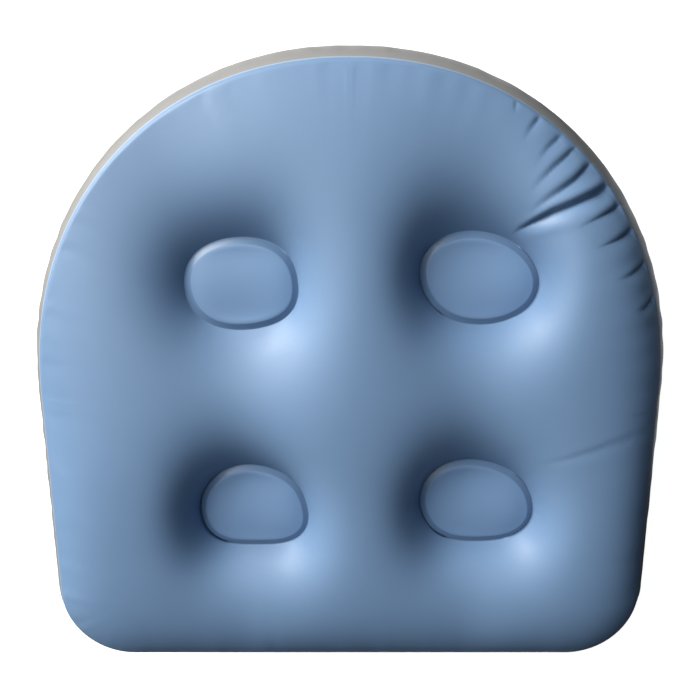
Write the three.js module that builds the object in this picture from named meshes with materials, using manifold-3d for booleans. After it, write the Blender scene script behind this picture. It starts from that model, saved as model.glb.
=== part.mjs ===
// An inflatable bath pillow that lies flat on its back, pillow face up.
// Millimetres. +X is to the pillow's right, +Y towards its rounded top edge, +Z up from the surface it lies on.
// The origin is on that surface, under the middle of the pillow's outline.
import * as THREE from "three";
import { mergeVertices } from "three/addons/utils/BufferGeometryUtils.js";
import Module from "manifold-3d";

const wasm = await Module();
wasm.setup();

// Clearance between pieces that touch, and how far a cutter runs past what it cuts.
const seatGap = 0.3;
const cutOverrun = 4;

// Outline of the side wall along its widest line, seen from above.
const pillowLength = 397;
const archHalfWidth = 200;
const archHeight = 206.5;
const archExponent = 2.11;
const baseHalfWidth = 202.5;
const cornerRadius = 56;
const archSteps = 12;
const sideSteps = 3;
const cornerSteps = 6;
const bottomSteps = 3;

// Side wall: a band of film that bulges along an arc between the two seams.
const wallFilm = 0.5;
const wallBulgeRadius = 45;
const wallArcDegrees = 41;
const wallSteps = 8;

// Face and back sheets, lapped over the wall's edges.
const sheetFilm = 0.5;
const lapWidth = 3.5;
const crownHeight = 47;
const shoulderWidth = 38;

// The four oval welds that hold the sheets together, and the domes inside them.
const ovalHalfWidth = 35.6;
const ovalHalfHeight = 28.4;
const ovalColumnSpacing = 143.8;
const ovalRowSpacing = 145;
const ovalPatternX = 7.2;
const ovalPatternY = -8.2;
const ovalRowRise = 3;
const weldHeight = 20;
const domeRise = 5;
const domeRingShare = 0.6;
const skirtShares = [0.16, 0.46, 0.78];
const spokeShares = [0.2, 0.39, 0.57, 0.74, 0.88];
const evenTurnShare = 0.55;
const leastLinkShare = 0.02;
const inflateSweeps = 400;

// Film sleeves that stand inside the pillow and tie each pair of oval welds.
const tieFilm = 0.5;
const tieFlangeWidth = 3;
const tieSteps = 24;
const breatherRadius = 4;
const breatherSteps = 10;

// Suction cups, each with a mushroom head on a neck.
const cupRimRadius = 23;
const cupLipWidth = 1.7;
const cupLipThickness = 0.6;
const cupHollowDepth = 3.6;
const cupBossRadius = 7.6;
const cupBossHeight = 9.7;
const cupShoulderRadius = 12;
const cupShoulderHeight = 6.4;
const cupNeckRadius = 4.2;
const cupHeadRadius = 7;
const cupHeadThickness = 2.4;
const cupHeadRound = 1.2;
const cupSteps = 20;
const cupCrownShare = 1 / 3;
const cupFlankShare = 2 / 3;
const upperCupSpacing = 128;
const upperCupFromTop = 60.5;
const lowerCupFromSide = 72.5;
const lowerCupFromBottom = 52.5;

// Patches welded to the back, each with a pocket that holds a cup's head.
const patchFilm = 0.8;
const patchRadius = 17;
const pocketFloor = 1;
const pocketSideClearance = 1;
const patchSteps = 20;

// Inflation valve in the middle of the wall's straight edge, pushed in flush.
const valveX = 0;
const valveWell = 11;
const flangeFilm = 0.8;
const flangeWeldWidth = 5.5;
const webFilm = 0.6;
const webLipLength = 2.4;
const stemOuterRadius = 5.2;
const stemBoreRadius = 3.6;
const stemLength = 14;
const stemRootRadius = 6.9;
const stemRootThickness = 1.4;
const mouthBeadWidth = 0.6;
const mouthBeadLength = 1.2;
const plugInset = 0.4;
const plugCapThickness = 1.4;
const plugNoseLength = 7;
const plugNoseTaper = 0.3;
const flapThickness = 0.6;
const flapRadius = 4.6;
const strapWidth = 3;
const strapFilm = 0.6;
const strapReach = 1.3;
const strapDepth = 5;
const valveSteps = 20;

const wallArc = THREE.MathUtils.degToRad(wallArcDegrees);
const springY = pillowLength / 2 - archHeight;
const bottomY = -pillowLength / 2;
const archCorners = 2 * archSteps;
const outlineCount = 2 * (archSteps + sideSteps + cornerSteps + bottomSteps);

// Finishes, taken from the photograph.
const faceFilmFinish = finish(0x6f92bb, 0.42);
const wallFilmFinish = finish(0xb9b1a9, 0.5);
const tieFilmFinish = finish(0xa9b3bd, 0.5);
const clearVinylFinish = finish(0xc3d3de, 0.2);

function finish(color, roughness) {
  return new THREE.MeshStandardMaterial({ color, roughness, metalness: 0 });
}

// Points of the outline, anticlockwise from where the arch meets the right side.
function outlinePoints() {
  const points = [];
  for (let i = 0; i < archCorners; i++) {
    const turn = (Math.PI * i) / archCorners;
    const across = Math.abs(Math.cos(turn)) ** (2 / archExponent);
    const up = Math.sin(turn) ** (2 / archExponent);
    const x = archHalfWidth * across * Math.sign(Math.cos(turn));
    points.push(new THREE.Vector2(x, springY + archHeight * up));
  }
  const left = lowerLeftPoints();
  points.push(...left);
  points.push(new THREE.Vector2(0, bottomY));
  for (const point of left.slice(1).reverse()) {
    points.push(new THREE.Vector2(-point.x, point.y));
  }
  return points;
}

// The left side, its rounded corner and the left half of the bottom, down to but without the middle.
function lowerLeftPoints() {
  const points = [];
  const cornerX = -baseHalfWidth + cornerRadius;
  const cornerY = bottomY + cornerRadius;
  for (let i = 0; i < sideSteps; i++) {
    const share = i / sideSteps;
    const x = THREE.MathUtils.lerp(-archHalfWidth, -baseHalfWidth, share);
    points.push(new THREE.Vector2(x, THREE.MathUtils.lerp(springY, cornerY, share)));
  }
  for (let i = 0; i <= cornerSteps; i++) {
    const turn = Math.PI + ((Math.PI / 2) * i) / cornerSteps;
    const x = cornerX + cornerRadius * Math.cos(turn);
    points.push(new THREE.Vector2(x, cornerY + cornerRadius * Math.sin(turn)));
  }
  for (let i = 1; i < bottomSteps; i++) {
    points.push(new THREE.Vector2(cornerX * (1 - i / bottomSteps), bottomY));
  }
  return points;
}

// Outward direction at each outline point, long enough to keep mitred offsets parallel.
function mitreDirections(points) {
  return points.map((point, i) => {
    const before = points[(i + points.length - 1) % points.length];
    const after = points[(i + 1) % points.length];
    const normalBefore = edgeNormal(before, point);
    const normalAfter = edgeNormal(point, after);
    const middle = normalBefore.clone().add(normalAfter).normalize();
    return middle.divideScalar(middle.dot(normalBefore));
  });
}

function edgeNormal(from, to) {
  return new THREE.Vector2(to.y - from.y, from.x - to.x).normalize();
}

const outline = outlinePoints();
const mitres = mitreDirections(outline);

// A point of the seam region: out from the outline and up from the pillow's middle plane.
function atOutline(index, section) {
  const point = outline[index % outlineCount];
  const mitre = mitres[index % outlineCount];
  return new THREE.Vector3(point.x + mitre.x * section.x, point.y + mitre.y * section.x, section.y);
}

// Section of the wall as (out, up) pairs along its arc, at one radius.
function wallSection(radius) {
  const section = [];
  for (let i = 0; i <= wallSteps; i++) {
    const turn = wallArc * ((2 * i) / wallSteps - 1);
    section.push(new THREE.Vector2(radius * Math.cos(turn) - wallBulgeRadius, radius * Math.sin(turn)));
  }
  return section;
}

// Section of the face sheet's lap: rows at the seam and at the free edge, parallel to the wall's last facet.
function lapSection(distance) {
  const wall = wallSection(wallBulgeRadius);
  const edge = wall[wallSteps];
  const along = wall[wallSteps - 1].clone().sub(edge).normalize();
  const out = new THREE.Vector2(-along.y, along.x);
  const seam = edge.clone().addScaledVector(out, distance);
  return { seam, hem: seam.clone().addScaledVector(along, lapWidth) };
}

// Centres of the four ovals, in the order of the cells: upper right, upper left, lower left, lower right.
function ovalCentres() {
  const sides = [[1, 1], [-1, 1], [-1, -1], [1, -1]];
  return sides.map(([across, up]) => {
    const x = ovalPatternX + (across * ovalColumnSpacing) / 2;
    const y = ovalPatternY + (up * ovalRowSpacing) / 2 + (across * ovalRowRise) / 2;
    return new THREE.Vector2(x, y);
  });
}

// Points round an oval, one for each vertex of its cell's edge, between that vertex's direction and an even spacing.
function ovalPoints(centre, edges) {
  const step = (2 * Math.PI) / edges.length;
  let last = 0;
  const drifts = edges.map((edge, i) => {
    let turn = Math.atan2((edge.y - centre.y) / ovalHalfHeight, (edge.x - centre.x) / ovalHalfWidth);
    while (turn < last - Math.PI) turn += 2 * Math.PI;
    last = turn;
    return turn - i * step;
  });
  const evenDrift = drifts.reduce((sum, drift) => sum + drift, 0) / drifts.length;
  return drifts.map((drift, i) => {
    const turn = i * step + THREE.MathUtils.lerp(drift, evenDrift, evenTurnShare);
    return new THREE.Vector2(
      centre.x + ovalHalfWidth * Math.cos(turn),
      centre.y + ovalHalfHeight * Math.sin(turn),
    );
  });
}

// The sheet's mesh in plan: four cells, each ringed from its oval's centre out to the cell's edge.
// Each vertex has its place and, where a weld holds it, its height.
function planMesh() {
  const vertices = [];
  const faces = [];
  const add = (place, height) => vertices.push({ place, height, held: height !== undefined }) - 1;
  const lap = lapSection(seatGap).seam;
  const seam = outline.map((_, i) => {
    const point = atOutline(i, lap);
    return add(new THREE.Vector2(point.x, point.y), point.z);
  });
  const hub = add(new THREE.Vector2(0, springY));
  const cellCorners = [0, archSteps, archCorners, archCorners + archSteps];
  const spokes = cellCorners.map((corner) => {
    const end = vertices[seam[corner]].place;
    const start = vertices[hub].place;
    return spokeShares.map((share) => add(start.clone().lerp(end, share)));
  });
  ovalCentres().forEach((centre, cell) => {
    const loop = cellLoop(cell, seam, hub, spokes);
    addCell(centre, loop, vertices, faces, add);
  });
  return { vertices, faces, seam };
}

// The vertices round one cell, anticlockwise.
function cellLoop(cell, seam, hub, spokes) {
  const next = (cell + 1) % spokes.length;
  const loop = [];
  for (let i = 0; i <= archSteps; i++) {
    loop.push(seam[(cell * archSteps + i) % outlineCount]);
  }
  loop.push(...spokes[next].slice().reverse(), hub, ...spokes[cell]);
  return loop;
}

// One cell's rings: dome, oval weld and skirts out to the cell's edge.
function addCell(centre, loop, vertices, faces, add) {
  const top = add(centre.clone(), weldHeight + domeRise);
  const weld = ovalPoints(centre, loop.map((edge) => vertices[edge].place));
  const ringHeight = weldHeight + domeRise * (1 - domeRingShare ** 2);
  const rings = [
    weld.map((point) => add(centre.clone().lerp(point, domeRingShare), ringHeight)),
    weld.map((point) => add(point, weldHeight)),
  ];
  for (const share of skirtShares) {
    rings.push(weld.map((point, i) => add(point.clone().lerp(vertices[loop[i]].place, share))));
  }
  rings.push(loop);
  const count = loop.length;
  for (let i = 0; i < count; i++) {
    const j = (i + 1) % count;
    faces.push([top, rings[0][i], rings[0][j]]);
    for (let k = 1; k < rings.length; k++) {
      faces.push(...shortCut([rings[k - 1][i], rings[k][i], rings[k][j], rings[k - 1][j]], vertices));
    }
  }
}

// A quad as two triangles, cut along its shorter diagonal.
function shortCut([a, b, c, d], vertices) {
  const length = (from, to) => vertices[from].place.distanceTo(vertices[to].place);
  return length(a, c) < length(b, d) ? [[a, b, c], [a, c, d]] : [[a, b, d], [b, c, d]];
}

// Heights of the vertices that no weld holds: a film under even pressure that levels off at the crown.
function inflate(mesh) {
  const { vertices, faces } = mesh;
  const links = vertices.map(() => new Map());
  const areas = vertices.map(() => 0);
  for (const face of faces) {
    const [a, b, c] = face.map((i) => vertices[i].place);
    const doubleArea = b.clone().sub(a).cross(c.clone().sub(a));
    for (let k = 0; k < face.length; k++) {
      const [near, far, apex] = [face[(k + 1) % 3], face[(k + 2) % 3], face[k]];
      const toNear = vertices[near].place.clone().sub(vertices[apex].place);
      const toFar = vertices[far].place.clone().sub(vertices[apex].place);
      const weight = Math.max(toNear.dot(toFar) / doubleArea, leastLinkShare) / 2;
      links[near].set(far, (links[near].get(far) ?? 0) + weight);
      links[far].set(near, (links[far].get(near) ?? 0) + weight);
      areas[apex] += doubleArea / 6;
    }
  }
  const swell = crownHeight - weldHeight;
  const load = (2 * swell) / shoulderWidth ** 2;
  for (const vertex of vertices) vertex.height ??= crownHeight;
  for (let sweep = 0; sweep < inflateSweeps; sweep++) {
    vertices.forEach((vertex, i) => {
      if (vertex.held) return;
      let pull = load * areas[i];
      let stiffness = (load * areas[i] * (vertex.height - weldHeight) ** 3) / swell ** 4;
      for (const [other, weight] of links[i]) {
        pull += weight * (vertices[other].height - weldHeight);
        stiffness += weight;
      }
      vertex.height = weldHeight + pull / stiffness;
    });
  }
}

// Shell of a sheet: the inflated skin, its lap over the wall, and the same again one film outwards.
function sheetShell(mesh) {
  const { vertices, faces, seam } = mesh;
  const inside = lapSection(seatGap);
  const outside = lapSection(seatGap + sheetFilm);
  const inner = vertices.map(({ place, height }) => new THREE.Vector3(place.x, place.y, height));
  const normals = vertexNormals(inner, faces);
  const outer = inner.map((point, i) => point.clone().addScaledVector(normals[i], sheetFilm));
  seam.forEach((vertex, i) => outer[vertex].copy(atOutline(i, outside.seam)));
  const points = [...inner, ...outer];
  const innerHem = seam.map((_, i) => points.push(atOutline(i, inside.hem)) - 1);
  const outerHem = seam.map((_, i) => points.push(atOutline(i, outside.hem)) - 1);
  const outerSkin = faces.map((face) => face.map((i) => i + inner.length));
  const triangles = [...outerSkin, ...faces.map(([a, b, c]) => [a, c, b])];
  const outerSeam = seam.map((i) => i + inner.length);
  addBand(triangles, outerHem, outerSeam);
  addBand(triangles, innerHem, outerHem);
  addBand(triangles, seam, innerHem);
  return { points, triangles, outerSkin };
}

function vertexNormals(points, faces) {
  const normals = points.map(() => new THREE.Vector3());
  for (const [a, b, c] of faces) {
    const first = points[b].clone().sub(points[a]);
    const normal = first.cross(points[c].clone().sub(points[a]));
    for (const i of [a, b, c]) normals[i].add(normal);
  }
  return normals.map((normal) => normal.normalize());
}

// Quads between two closed rows, facing out when the first row is the lower or outer one.
function addBand(triangles, first, second) {
  first.forEach((_, i) => {
    const j = (i + 1) % first.length;
    triangles.push([first[i], first[j], second[j]], [first[i], second[j], second[i]]);
  });
}

function geometryOf(points, triangles) {
  const geometry = new THREE.BufferGeometry();
  geometry.setAttribute("position", new THREE.Float32BufferAttribute(points.flatMap((p) => p.toArray()), 3));
  geometry.setIndex(triangles.flat());
  return geometry;
}

// The back sheet is the face sheet turned over about the middle plane.
function turnedOver({ points, triangles, outerSkin }) {
  return {
    points: points.map((p) => new THREE.Vector3(p.x, p.y, -p.z)),
    triangles: triangles.map(([a, b, c]) => [a, c, b]),
    outerSkin: outerSkin.map(([a, b, c]) => [a, c, b]),
  };
}

function solidOf(geometry) {
  const bare = geometry.index ? geometry.toNonIndexed() : geometry.clone();
  bare.deleteAttribute("normal");
  bare.deleteAttribute("uv");
  const merged = mergeVertices(bare);
  const corners = [];
  for (let i = 0; i < merged.index.count; i += 3) {
    const [a, b, c] = [0, 1, 2].map((k) => merged.index.getX(i + k));
    if (a !== b && b !== c && c !== a) corners.push(a, b, c);
  }
  const vertProperties = merged.attributes.position.array;
  return new wasm.Manifold(new wasm.Mesh({ numProp: 3, vertProperties, triVerts: new Uint32Array(corners) }));
}

function geometryFrom(solid) {
  const { vertProperties, triVerts } = solid.getMesh();
  const geometry = new THREE.BufferGeometry();
  geometry.setAttribute("position", new THREE.BufferAttribute(vertProperties, 3));
  geometry.setIndex(new THREE.BufferAttribute(triVerts, 1));
  return geometry;
}

// A closed lathe about the Y axis from (radius, height) pairs.
function turned(profile, steps) {
  return new THREE.LatheGeometry(profile.map(([radius, height]) => new THREE.Vector2(radius, height)), steps);
}

// The same about the Z axis.
function turnedUp(profile, steps) {
  return turned(profile, steps).rotateX(Math.PI / 2);
}

// Solid between two copies of a skin, one moved by near and one by far along Z.
function layerAlongZ(points, skin, near, far) {
  const used = [...new Set(skin.flat())];
  const index = new Map(used.map((vertex, i) => [vertex, i]));
  const shifted = (rise) => used.map((i) => new THREE.Vector3(points[i].x, points[i].y, points[i].z + rise));
  const low = skin.map((face) => face.map((i) => index.get(i)));
  const high = low.map(([a, b, c]) => [a + used.length, c + used.length, b + used.length]);
  const sides = borderEdges(low).flatMap(([a, b]) => [
    [b, a, a + used.length],
    [b, a + used.length, b + used.length],
  ]);
  return solidOf(geometryOf([...shifted(near), ...shifted(far)], [...low, ...high, ...sides]));
}

function borderEdges(faces) {
  const edges = faces.flatMap(([a, b, c]) => [[a, b], [b, c], [c, a]]);
  const seen = new Set(edges.map((edge) => edge.join()));
  return edges.filter(([a, b]) => !seen.has([b, a].join()));
}

// Height of a skin above or below a place in plan.
function heightOn(points, skin, x, y) {
  const place = new THREE.Vector3(x, y, 0);
  const flat = (i) => new THREE.Vector3(points[i].x, points[i].y, 0);
  for (const [a, b, c] of skin) {
    const triangle = new THREE.Triangle(flat(a), flat(b), flat(c));
    if (!triangle.containsPoint(place)) continue;
    const weights = triangle.getBarycoord(place, new THREE.Vector3());
    return weights.x * points[a].z + weights.y * points[b].z + weights.z * points[c].z;
  }
  return 0;
}

function placed(geometry, name, material, x = 0, y = 0, z = 0) {
  const mesh = new THREE.Mesh(geometry, material);
  mesh.name = name;
  mesh.position.set(x, y, z);
  return mesh;
}

// Side wall: both faces of the film, its two edges, and the hole for the valve.
function sideWall() {
  const points = [];
  const row = (section) => outline.map((_, i) => points.push(atOutline(i, section)) - 1);
  const outer = wallSection(wallBulgeRadius).map(row);
  const inner = wallSection(wallBulgeRadius - wallFilm).map(row);
  const triangles = [];
  for (let i = 0; i < wallSteps; i++) {
    addBand(triangles, outer[i], outer[i + 1]);
    addBand(triangles, inner[i + 1], inner[i]);
  }
  addBand(triangles, outer[wallSteps], inner[wallSteps]);
  addBand(triangles, inner[0], outer[0]);
  const hole = valveCutter(valveWell);
  return geometryFrom(solidOf(geometryOf(points, triangles)).subtract(hole));
}

// A cylinder along Y through the wall at the valve's place.
function valveCutter(radius) {
  const cutter = new THREE.CylinderGeometry(radius, radius, wallBulgeRadius, valveSteps);
  return solidOf(cutter.translate(valveX, bottomY, 0));
}

// Sleeve of film with a flange at each end, bent round an oval.
function tieTube(centre) {
  const reach = weldHeight - seatGap;
  const corners = [
    [0, -reach], [0, reach], [-tieFlangeWidth, reach], [-tieFlangeWidth, reach - tieFilm],
    [-tieFilm, reach - tieFilm], [-tieFilm, tieFilm - reach], [-tieFlangeWidth, tieFilm - reach],
    [-tieFlangeWidth, -reach],
  ];
  const points = [];
  const rows = corners.map(([out, up]) => {
    const row = [];
    for (let i = 0; i < tieSteps; i++) {
      const turn = (2 * Math.PI * i) / tieSteps;
      const x = centre.x + (ovalHalfWidth + out) * Math.cos(turn);
      const y = centre.y + (ovalHalfHeight + out) * Math.sin(turn);
      row.push(points.push(new THREE.Vector3(x, y, up)) - 1);
    }
    return row;
  });
  const triangles = [];
  rows.forEach((row, i) => addBand(triangles, row, rows[(i + 1) % rows.length]));
  const breather = new THREE.CylinderGeometry(
    breatherRadius, breatherRadius, 2 * (ovalHalfHeight + cutOverrun), breatherSteps,
  );
  const cutter = solidOf(breather.translate(centre.x, centre.y, 0));
  return geometryFrom(solidOf(geometryOf(points, triangles)).subtract(cutter));
}

const cupHeadTop = cupBossHeight + 2 * seatGap + pocketFloor + cupHeadThickness;

// Suction cup, its rim on the surface at zero height.
function suctionCup() {
  const headUnder = cupHeadTop - cupHeadThickness;
  const lipInner = cupRimRadius - cupLipWidth;
  return turnedUp([
    [0, cupHollowDepth],
    [lipInner * cupCrownShare, cupHollowDepth],
    [lipInner * cupFlankShare, cupHollowDepth * cupFlankShare],
    [lipInner, 0],
    [cupRimRadius, 0],
    [cupRimRadius, cupLipThickness],
    [cupShoulderRadius, cupShoulderHeight],
    [cupBossRadius, (cupShoulderHeight + cupBossHeight) / 2],
    [cupBossRadius, cupBossHeight],
    [cupNeckRadius, cupBossHeight],
    [cupNeckRadius, headUnder],
    [cupHeadRadius, headUnder],
    [cupHeadRadius, cupHeadTop - cupHeadRound],
    [cupHeadRadius - cupHeadRound, cupHeadTop],
    [0, cupHeadTop],
  ], cupSteps);
}

const upperCupX = upperCupSpacing / 2;
const upperCupY = pillowLength / 2 - upperCupFromTop;
const lowerCupX = baseHalfWidth - lowerCupFromSide;
const lowerCupY = bottomY + lowerCupFromBottom;
const cupPlaces = [
  { name: "upper_right", x: upperCupX, y: upperCupY },
  { name: "upper_left", x: -upperCupX, y: upperCupY },
  { name: "lower_left", x: -lowerCupX, y: lowerCupY },
  { name: "lower_right", x: lowerCupX, y: lowerCupY },
];

// How far the back hangs below the middle plane over the cups' heads, where it hangs lowest.
function deepestOverCups(back) {
  const depths = cupPlaces.flatMap(({ x, y }) => {
    const around = [-heightOn(back.points, back.outerSkin, x, y)];
    for (let i = 0; i < patchSteps; i++) {
      const turn = (2 * Math.PI * i) / patchSteps;
      const reach = cupHeadRadius + pocketSideClearance;
      around.push(-heightOn(back.points, back.outerSkin, x + reach * Math.cos(turn), y + reach * Math.sin(turn)));
    }
    return around;
  });
  return Math.max(...depths);
}

// Patch: a ring of film that follows the back sheet, and a pocket with a floor round the cup's neck.
function cupPatch({ x, y }, back, middleHeight) {
  const pocketRadius = cupHeadRadius + pocketSideClearance;
  const neckHole = cupNeckRadius + seatGap;
  const floorUnder = cupBossHeight + seatGap - middleHeight;
  const under = -seatGap;
  const film = layerAlongZ(back.points, back.outerSkin, under - patchFilm, under);
  const above = layerAlongZ(back.points, back.outerSkin, under, crownHeight);
  const post = (radius) => {
    const cylinder = new THREE.CylinderGeometry(radius, radius, 2 * crownHeight, patchSteps);
    return solidOf(cylinder.rotateX(Math.PI / 2).translate(x, y, -crownHeight));
  };
  const ring = film.intersect(post(patchRadius)).subtract(post(pocketRadius));
  const cup = turnedUp([
    [neckHole, floorUnder],
    [pocketRadius + patchFilm, floorUnder],
    [pocketRadius + patchFilm, 0],
    [pocketRadius, 0],
    [pocketRadius, floorUnder + pocketFloor],
    [neckHole, floorUnder + pocketFloor],
    [neckHole, floorUnder],
  ], patchSteps);
  const pocket = solidOf(cup.translate(x, y, 0)).subtract(above);
  return geometryFrom(ring.add(pocket));
}

// The valve's pieces are turned about the valve's axis, with lengths measured inwards from the wall's outer face.

// Ring of film welded inside the wall, following the wall's arc.
function valveFlange() {
  const near = wallBulgeRadius - wallFilm - seatGap;
  const arc = [...wallSection(near), ...wallSection(near - flangeFilm).reverse()];
  const reach = valveWell + flangeWeldWidth;
  const band = new THREE.Shape(arc.map(({ x, y }) => new THREE.Vector2(-x, y)));
  const slab = new THREE.ExtrudeGeometry(band, { depth: 2 * reach, bevelEnabled: false });
  slab.applyMatrix4(new THREE.Matrix4().makeBasis(
    new THREE.Vector3(0, 1, 0), new THREE.Vector3(0, 0, 1), new THREE.Vector3(1, 0, 0),
  )).translate(valveX - reach, bottomY, 0);
  const ring = solidOf(slab).intersect(valveCutter(reach)).subtract(valveCutter(valveWell - seatGap));
  return geometryFrom(ring);
}

const stemMouth = plugInset + plugCapThickness + seatGap;
const stemEnd = stemMouth + stemLength;

// Thin cone that joins the flange's hole to the stem's root and folds over as the stem moves.
function valveWeb() {
  const lip = valveWell - 2 * seatGap;
  const foot = stemRootRadius + seatGap;
  const lipStart = wallFilm + seatGap;
  const lipEnd = lipStart + webLipLength;
  return turned([
    [lip, lipStart],
    [lip, lipEnd],
    [foot + webFilm, stemEnd],
    [foot, stemEnd],
    [lip - webFilm, lipEnd],
    [lip - webFilm, lipStart],
    [lip, lipStart],
  ], valveSteps);
}

// Tube with a beaded mouth and a root flange.
function valveStem() {
  const bead = stemOuterRadius + mouthBeadWidth;
  return turned([
    [stemBoreRadius, stemMouth],
    [bead, stemMouth],
    [bead, stemMouth + mouthBeadLength],
    [stemOuterRadius, stemMouth + mouthBeadLength],
    [stemOuterRadius, stemEnd - stemRootThickness],
    [stemRootRadius, stemEnd - stemRootThickness],
    [stemRootRadius, stemEnd],
    [stemBoreRadius, stemEnd],
    [stemBoreRadius, stemMouth],
  ], valveSteps);
}

// Flap that closes the stem's inner end under the pillow's own pressure.
function valveFlap() {
  const start = stemEnd + seatGap;
  return turned([
    [0, start],
    [flapRadius, start],
    [flapRadius, start + flapThickness],
    [0, start + flapThickness],
  ], valveSteps);
}

// Plug: a cap that closes flush with the wall and a nose in the stem's bore.
function valvePlug() {
  const nose = stemBoreRadius - seatGap;
  const capEnd = plugInset + plugCapThickness;
  const tip = capEnd + plugNoseLength;
  return turned([
    [0, plugInset],
    [stemOuterRadius, plugInset],
    [stemOuterRadius, capEnd],
    [nose, capEnd],
    [nose - plugNoseTaper, tip],
    [0, tip],
  ], valveSteps);
}

// Strap that loops from the plug's cap down to the stem's side.
function plugStrap() {
  const near = stemOuterRadius + seatGap;
  const behindBead = stemMouth + mouthBeadLength + seatGap;
  const bead = near + mouthBeadWidth;
  const far = bead + strapReach;
  const depth = behindBead + strapDepth;
  const loop = new THREE.Shape([
    [plugInset, near], [plugInset, far], [depth, far], [depth, near], [depth - strapFilm, near],
    [depth - strapFilm, far - strapFilm], [plugInset + strapFilm, far - strapFilm], [plugInset + strapFilm, near],
  ].map(([inwards, down]) => new THREE.Vector2(inwards, -down)));
  const strap = new THREE.ExtrudeGeometry(loop, { depth: strapWidth, bevelEnabled: false });
  strap.applyMatrix4(new THREE.Matrix4().makeBasis(
    new THREE.Vector3(0, 1, 0), new THREE.Vector3(0, 0, 1), new THREE.Vector3(1, 0, 0),
  ));
  return strap.translate(-strapWidth / 2, 0, 0);
}

function valveGroup() {
  const group = new THREE.Group();
  group.position.set(valveX, bottomY, 0);
  group.add(placed(valveWeb(), "valve_web", clearVinylFinish));
  group.add(placed(valveStem(), "valve_stem", clearVinylFinish));
  group.add(placed(valveFlap(), "valve_flap", clearVinylFinish));
  group.add(placed(valvePlug(), "valve_plug", clearVinylFinish));
  group.add(placed(plugStrap(), "plug_strap", clearVinylFinish));
  return group;
}

function bathPillow() {
  const pillow = new THREE.Group();
  const skin = planMesh();
  inflate(skin);
  const face = sheetShell(skin);
  const back = turnedOver(face);
  const middleHeight = cupHeadTop + seatGap + deepestOverCups(back);

  const cushion = new THREE.Group();
  cushion.position.z = middleHeight;
  cushion.add(placed(geometryOf(face.points, face.triangles), "top_sheet", faceFilmFinish));
  cushion.add(placed(sideWall(), "side_wall", wallFilmFinish));
  cushion.add(placed(geometryOf(back.points, back.triangles), "base_sheet", wallFilmFinish));
  const ovalNames = ["upper_right", "upper_left", "lower_left", "lower_right"];
  ovalCentres().forEach((centre, i) => {
    cushion.add(placed(tieTube(centre), `tie_tube_${ovalNames[i]}`, tieFilmFinish));
  });
  for (const place of cupPlaces) {
    cushion.add(placed(cupPatch(place, back, middleHeight), `cup_patch_${place.name}`, clearVinylFinish));
  }
  cushion.add(placed(valveFlange(), "valve_flange", clearVinylFinish));
  cushion.add(valveGroup());
  pillow.add(cushion);

  for (const { name, x, y } of cupPlaces) {
    pillow.add(placed(suctionCup(), `suction_cup_${name}`, clearVinylFinish, x, y));
  }
  return pillow;
}

export default bathPillow();
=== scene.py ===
"""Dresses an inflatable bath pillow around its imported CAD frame.

Lengths are millimetres until a mesh is made, and metres after that.
"""

import logging
import math
from collections.abc import Sequence
from dataclasses import dataclass, field
from enum import Enum

import bmesh
import bpy
import numpy as np
from mathutils import Matrix, Vector
from mathutils.bvhtree import BVHTree


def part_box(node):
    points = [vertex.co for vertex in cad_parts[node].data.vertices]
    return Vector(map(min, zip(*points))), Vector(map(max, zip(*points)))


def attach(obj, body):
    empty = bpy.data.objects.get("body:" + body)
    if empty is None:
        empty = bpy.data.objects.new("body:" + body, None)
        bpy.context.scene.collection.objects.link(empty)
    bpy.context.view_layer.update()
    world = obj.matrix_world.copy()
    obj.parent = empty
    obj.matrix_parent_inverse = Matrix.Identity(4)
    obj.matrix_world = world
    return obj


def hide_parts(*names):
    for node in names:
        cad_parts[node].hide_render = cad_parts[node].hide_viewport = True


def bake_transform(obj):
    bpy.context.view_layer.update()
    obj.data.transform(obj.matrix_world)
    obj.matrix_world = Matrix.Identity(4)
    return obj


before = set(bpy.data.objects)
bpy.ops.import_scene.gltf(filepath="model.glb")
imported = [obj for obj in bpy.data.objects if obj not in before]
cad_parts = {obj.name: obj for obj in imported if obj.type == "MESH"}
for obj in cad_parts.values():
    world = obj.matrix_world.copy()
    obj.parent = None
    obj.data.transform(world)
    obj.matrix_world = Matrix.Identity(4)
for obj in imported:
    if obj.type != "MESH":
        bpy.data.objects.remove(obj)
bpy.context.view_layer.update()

MM = 0.001
LOG = logging.getLogger("bath_pillow")
RUN_STEPS = 4001
OVAL_STEPS = 721
SHORTEST = 1e-12
MERGE_GAP = 1e-6
MOST_ROUND = 0.48
BATCH = 4000


class Side(Enum):
    """Which of the pillow's two large films a form is, by the way it faces."""

    FACE = 1
    BACK = -1


class Corner(Enum):
    """The four places of ovals and cups, as signs across and up."""

    UPPER_RIGHT = (1, 1)
    UPPER_LEFT = (-1, 1)
    LOWER_LEFT = (-1, -1)
    LOWER_RIGHT = (1, -1)

    @property
    def label(self) -> str:
        """The corner's name as the CAD nodes spell it."""
        return self.name.lower()


# ---- lines and grids ----


def spaced(count: int, spots: Sequence[tuple[float, float, float]] = ()) -> np.ndarray:
    """Shares along a run, from 0 up to but without 1.

    Args:
        count: how many shares.
        spots: where they lie closer together, as (share, half width, how many times closer).

    Returns:
        The shares, rising.
    """
    fine = np.linspace(0.0, 1.0, RUN_STEPS)
    density = np.ones_like(fine)
    for centre, half, extra in spots:
        density += extra * np.exp(-(((fine - centre) / half) ** 4))
    total = np.concatenate([[0.0], np.cumsum((density[1:] + density[:-1]) / 2)])
    return np.interp(np.arange(count) / count, total / total[-1], fine)


def unit(rows: np.ndarray) -> np.ndarray:
    """The rows of an array, each scaled to length one."""
    return rows / np.maximum(np.linalg.norm(rows, axis=1, keepdims=True), SHORTEST)


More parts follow.
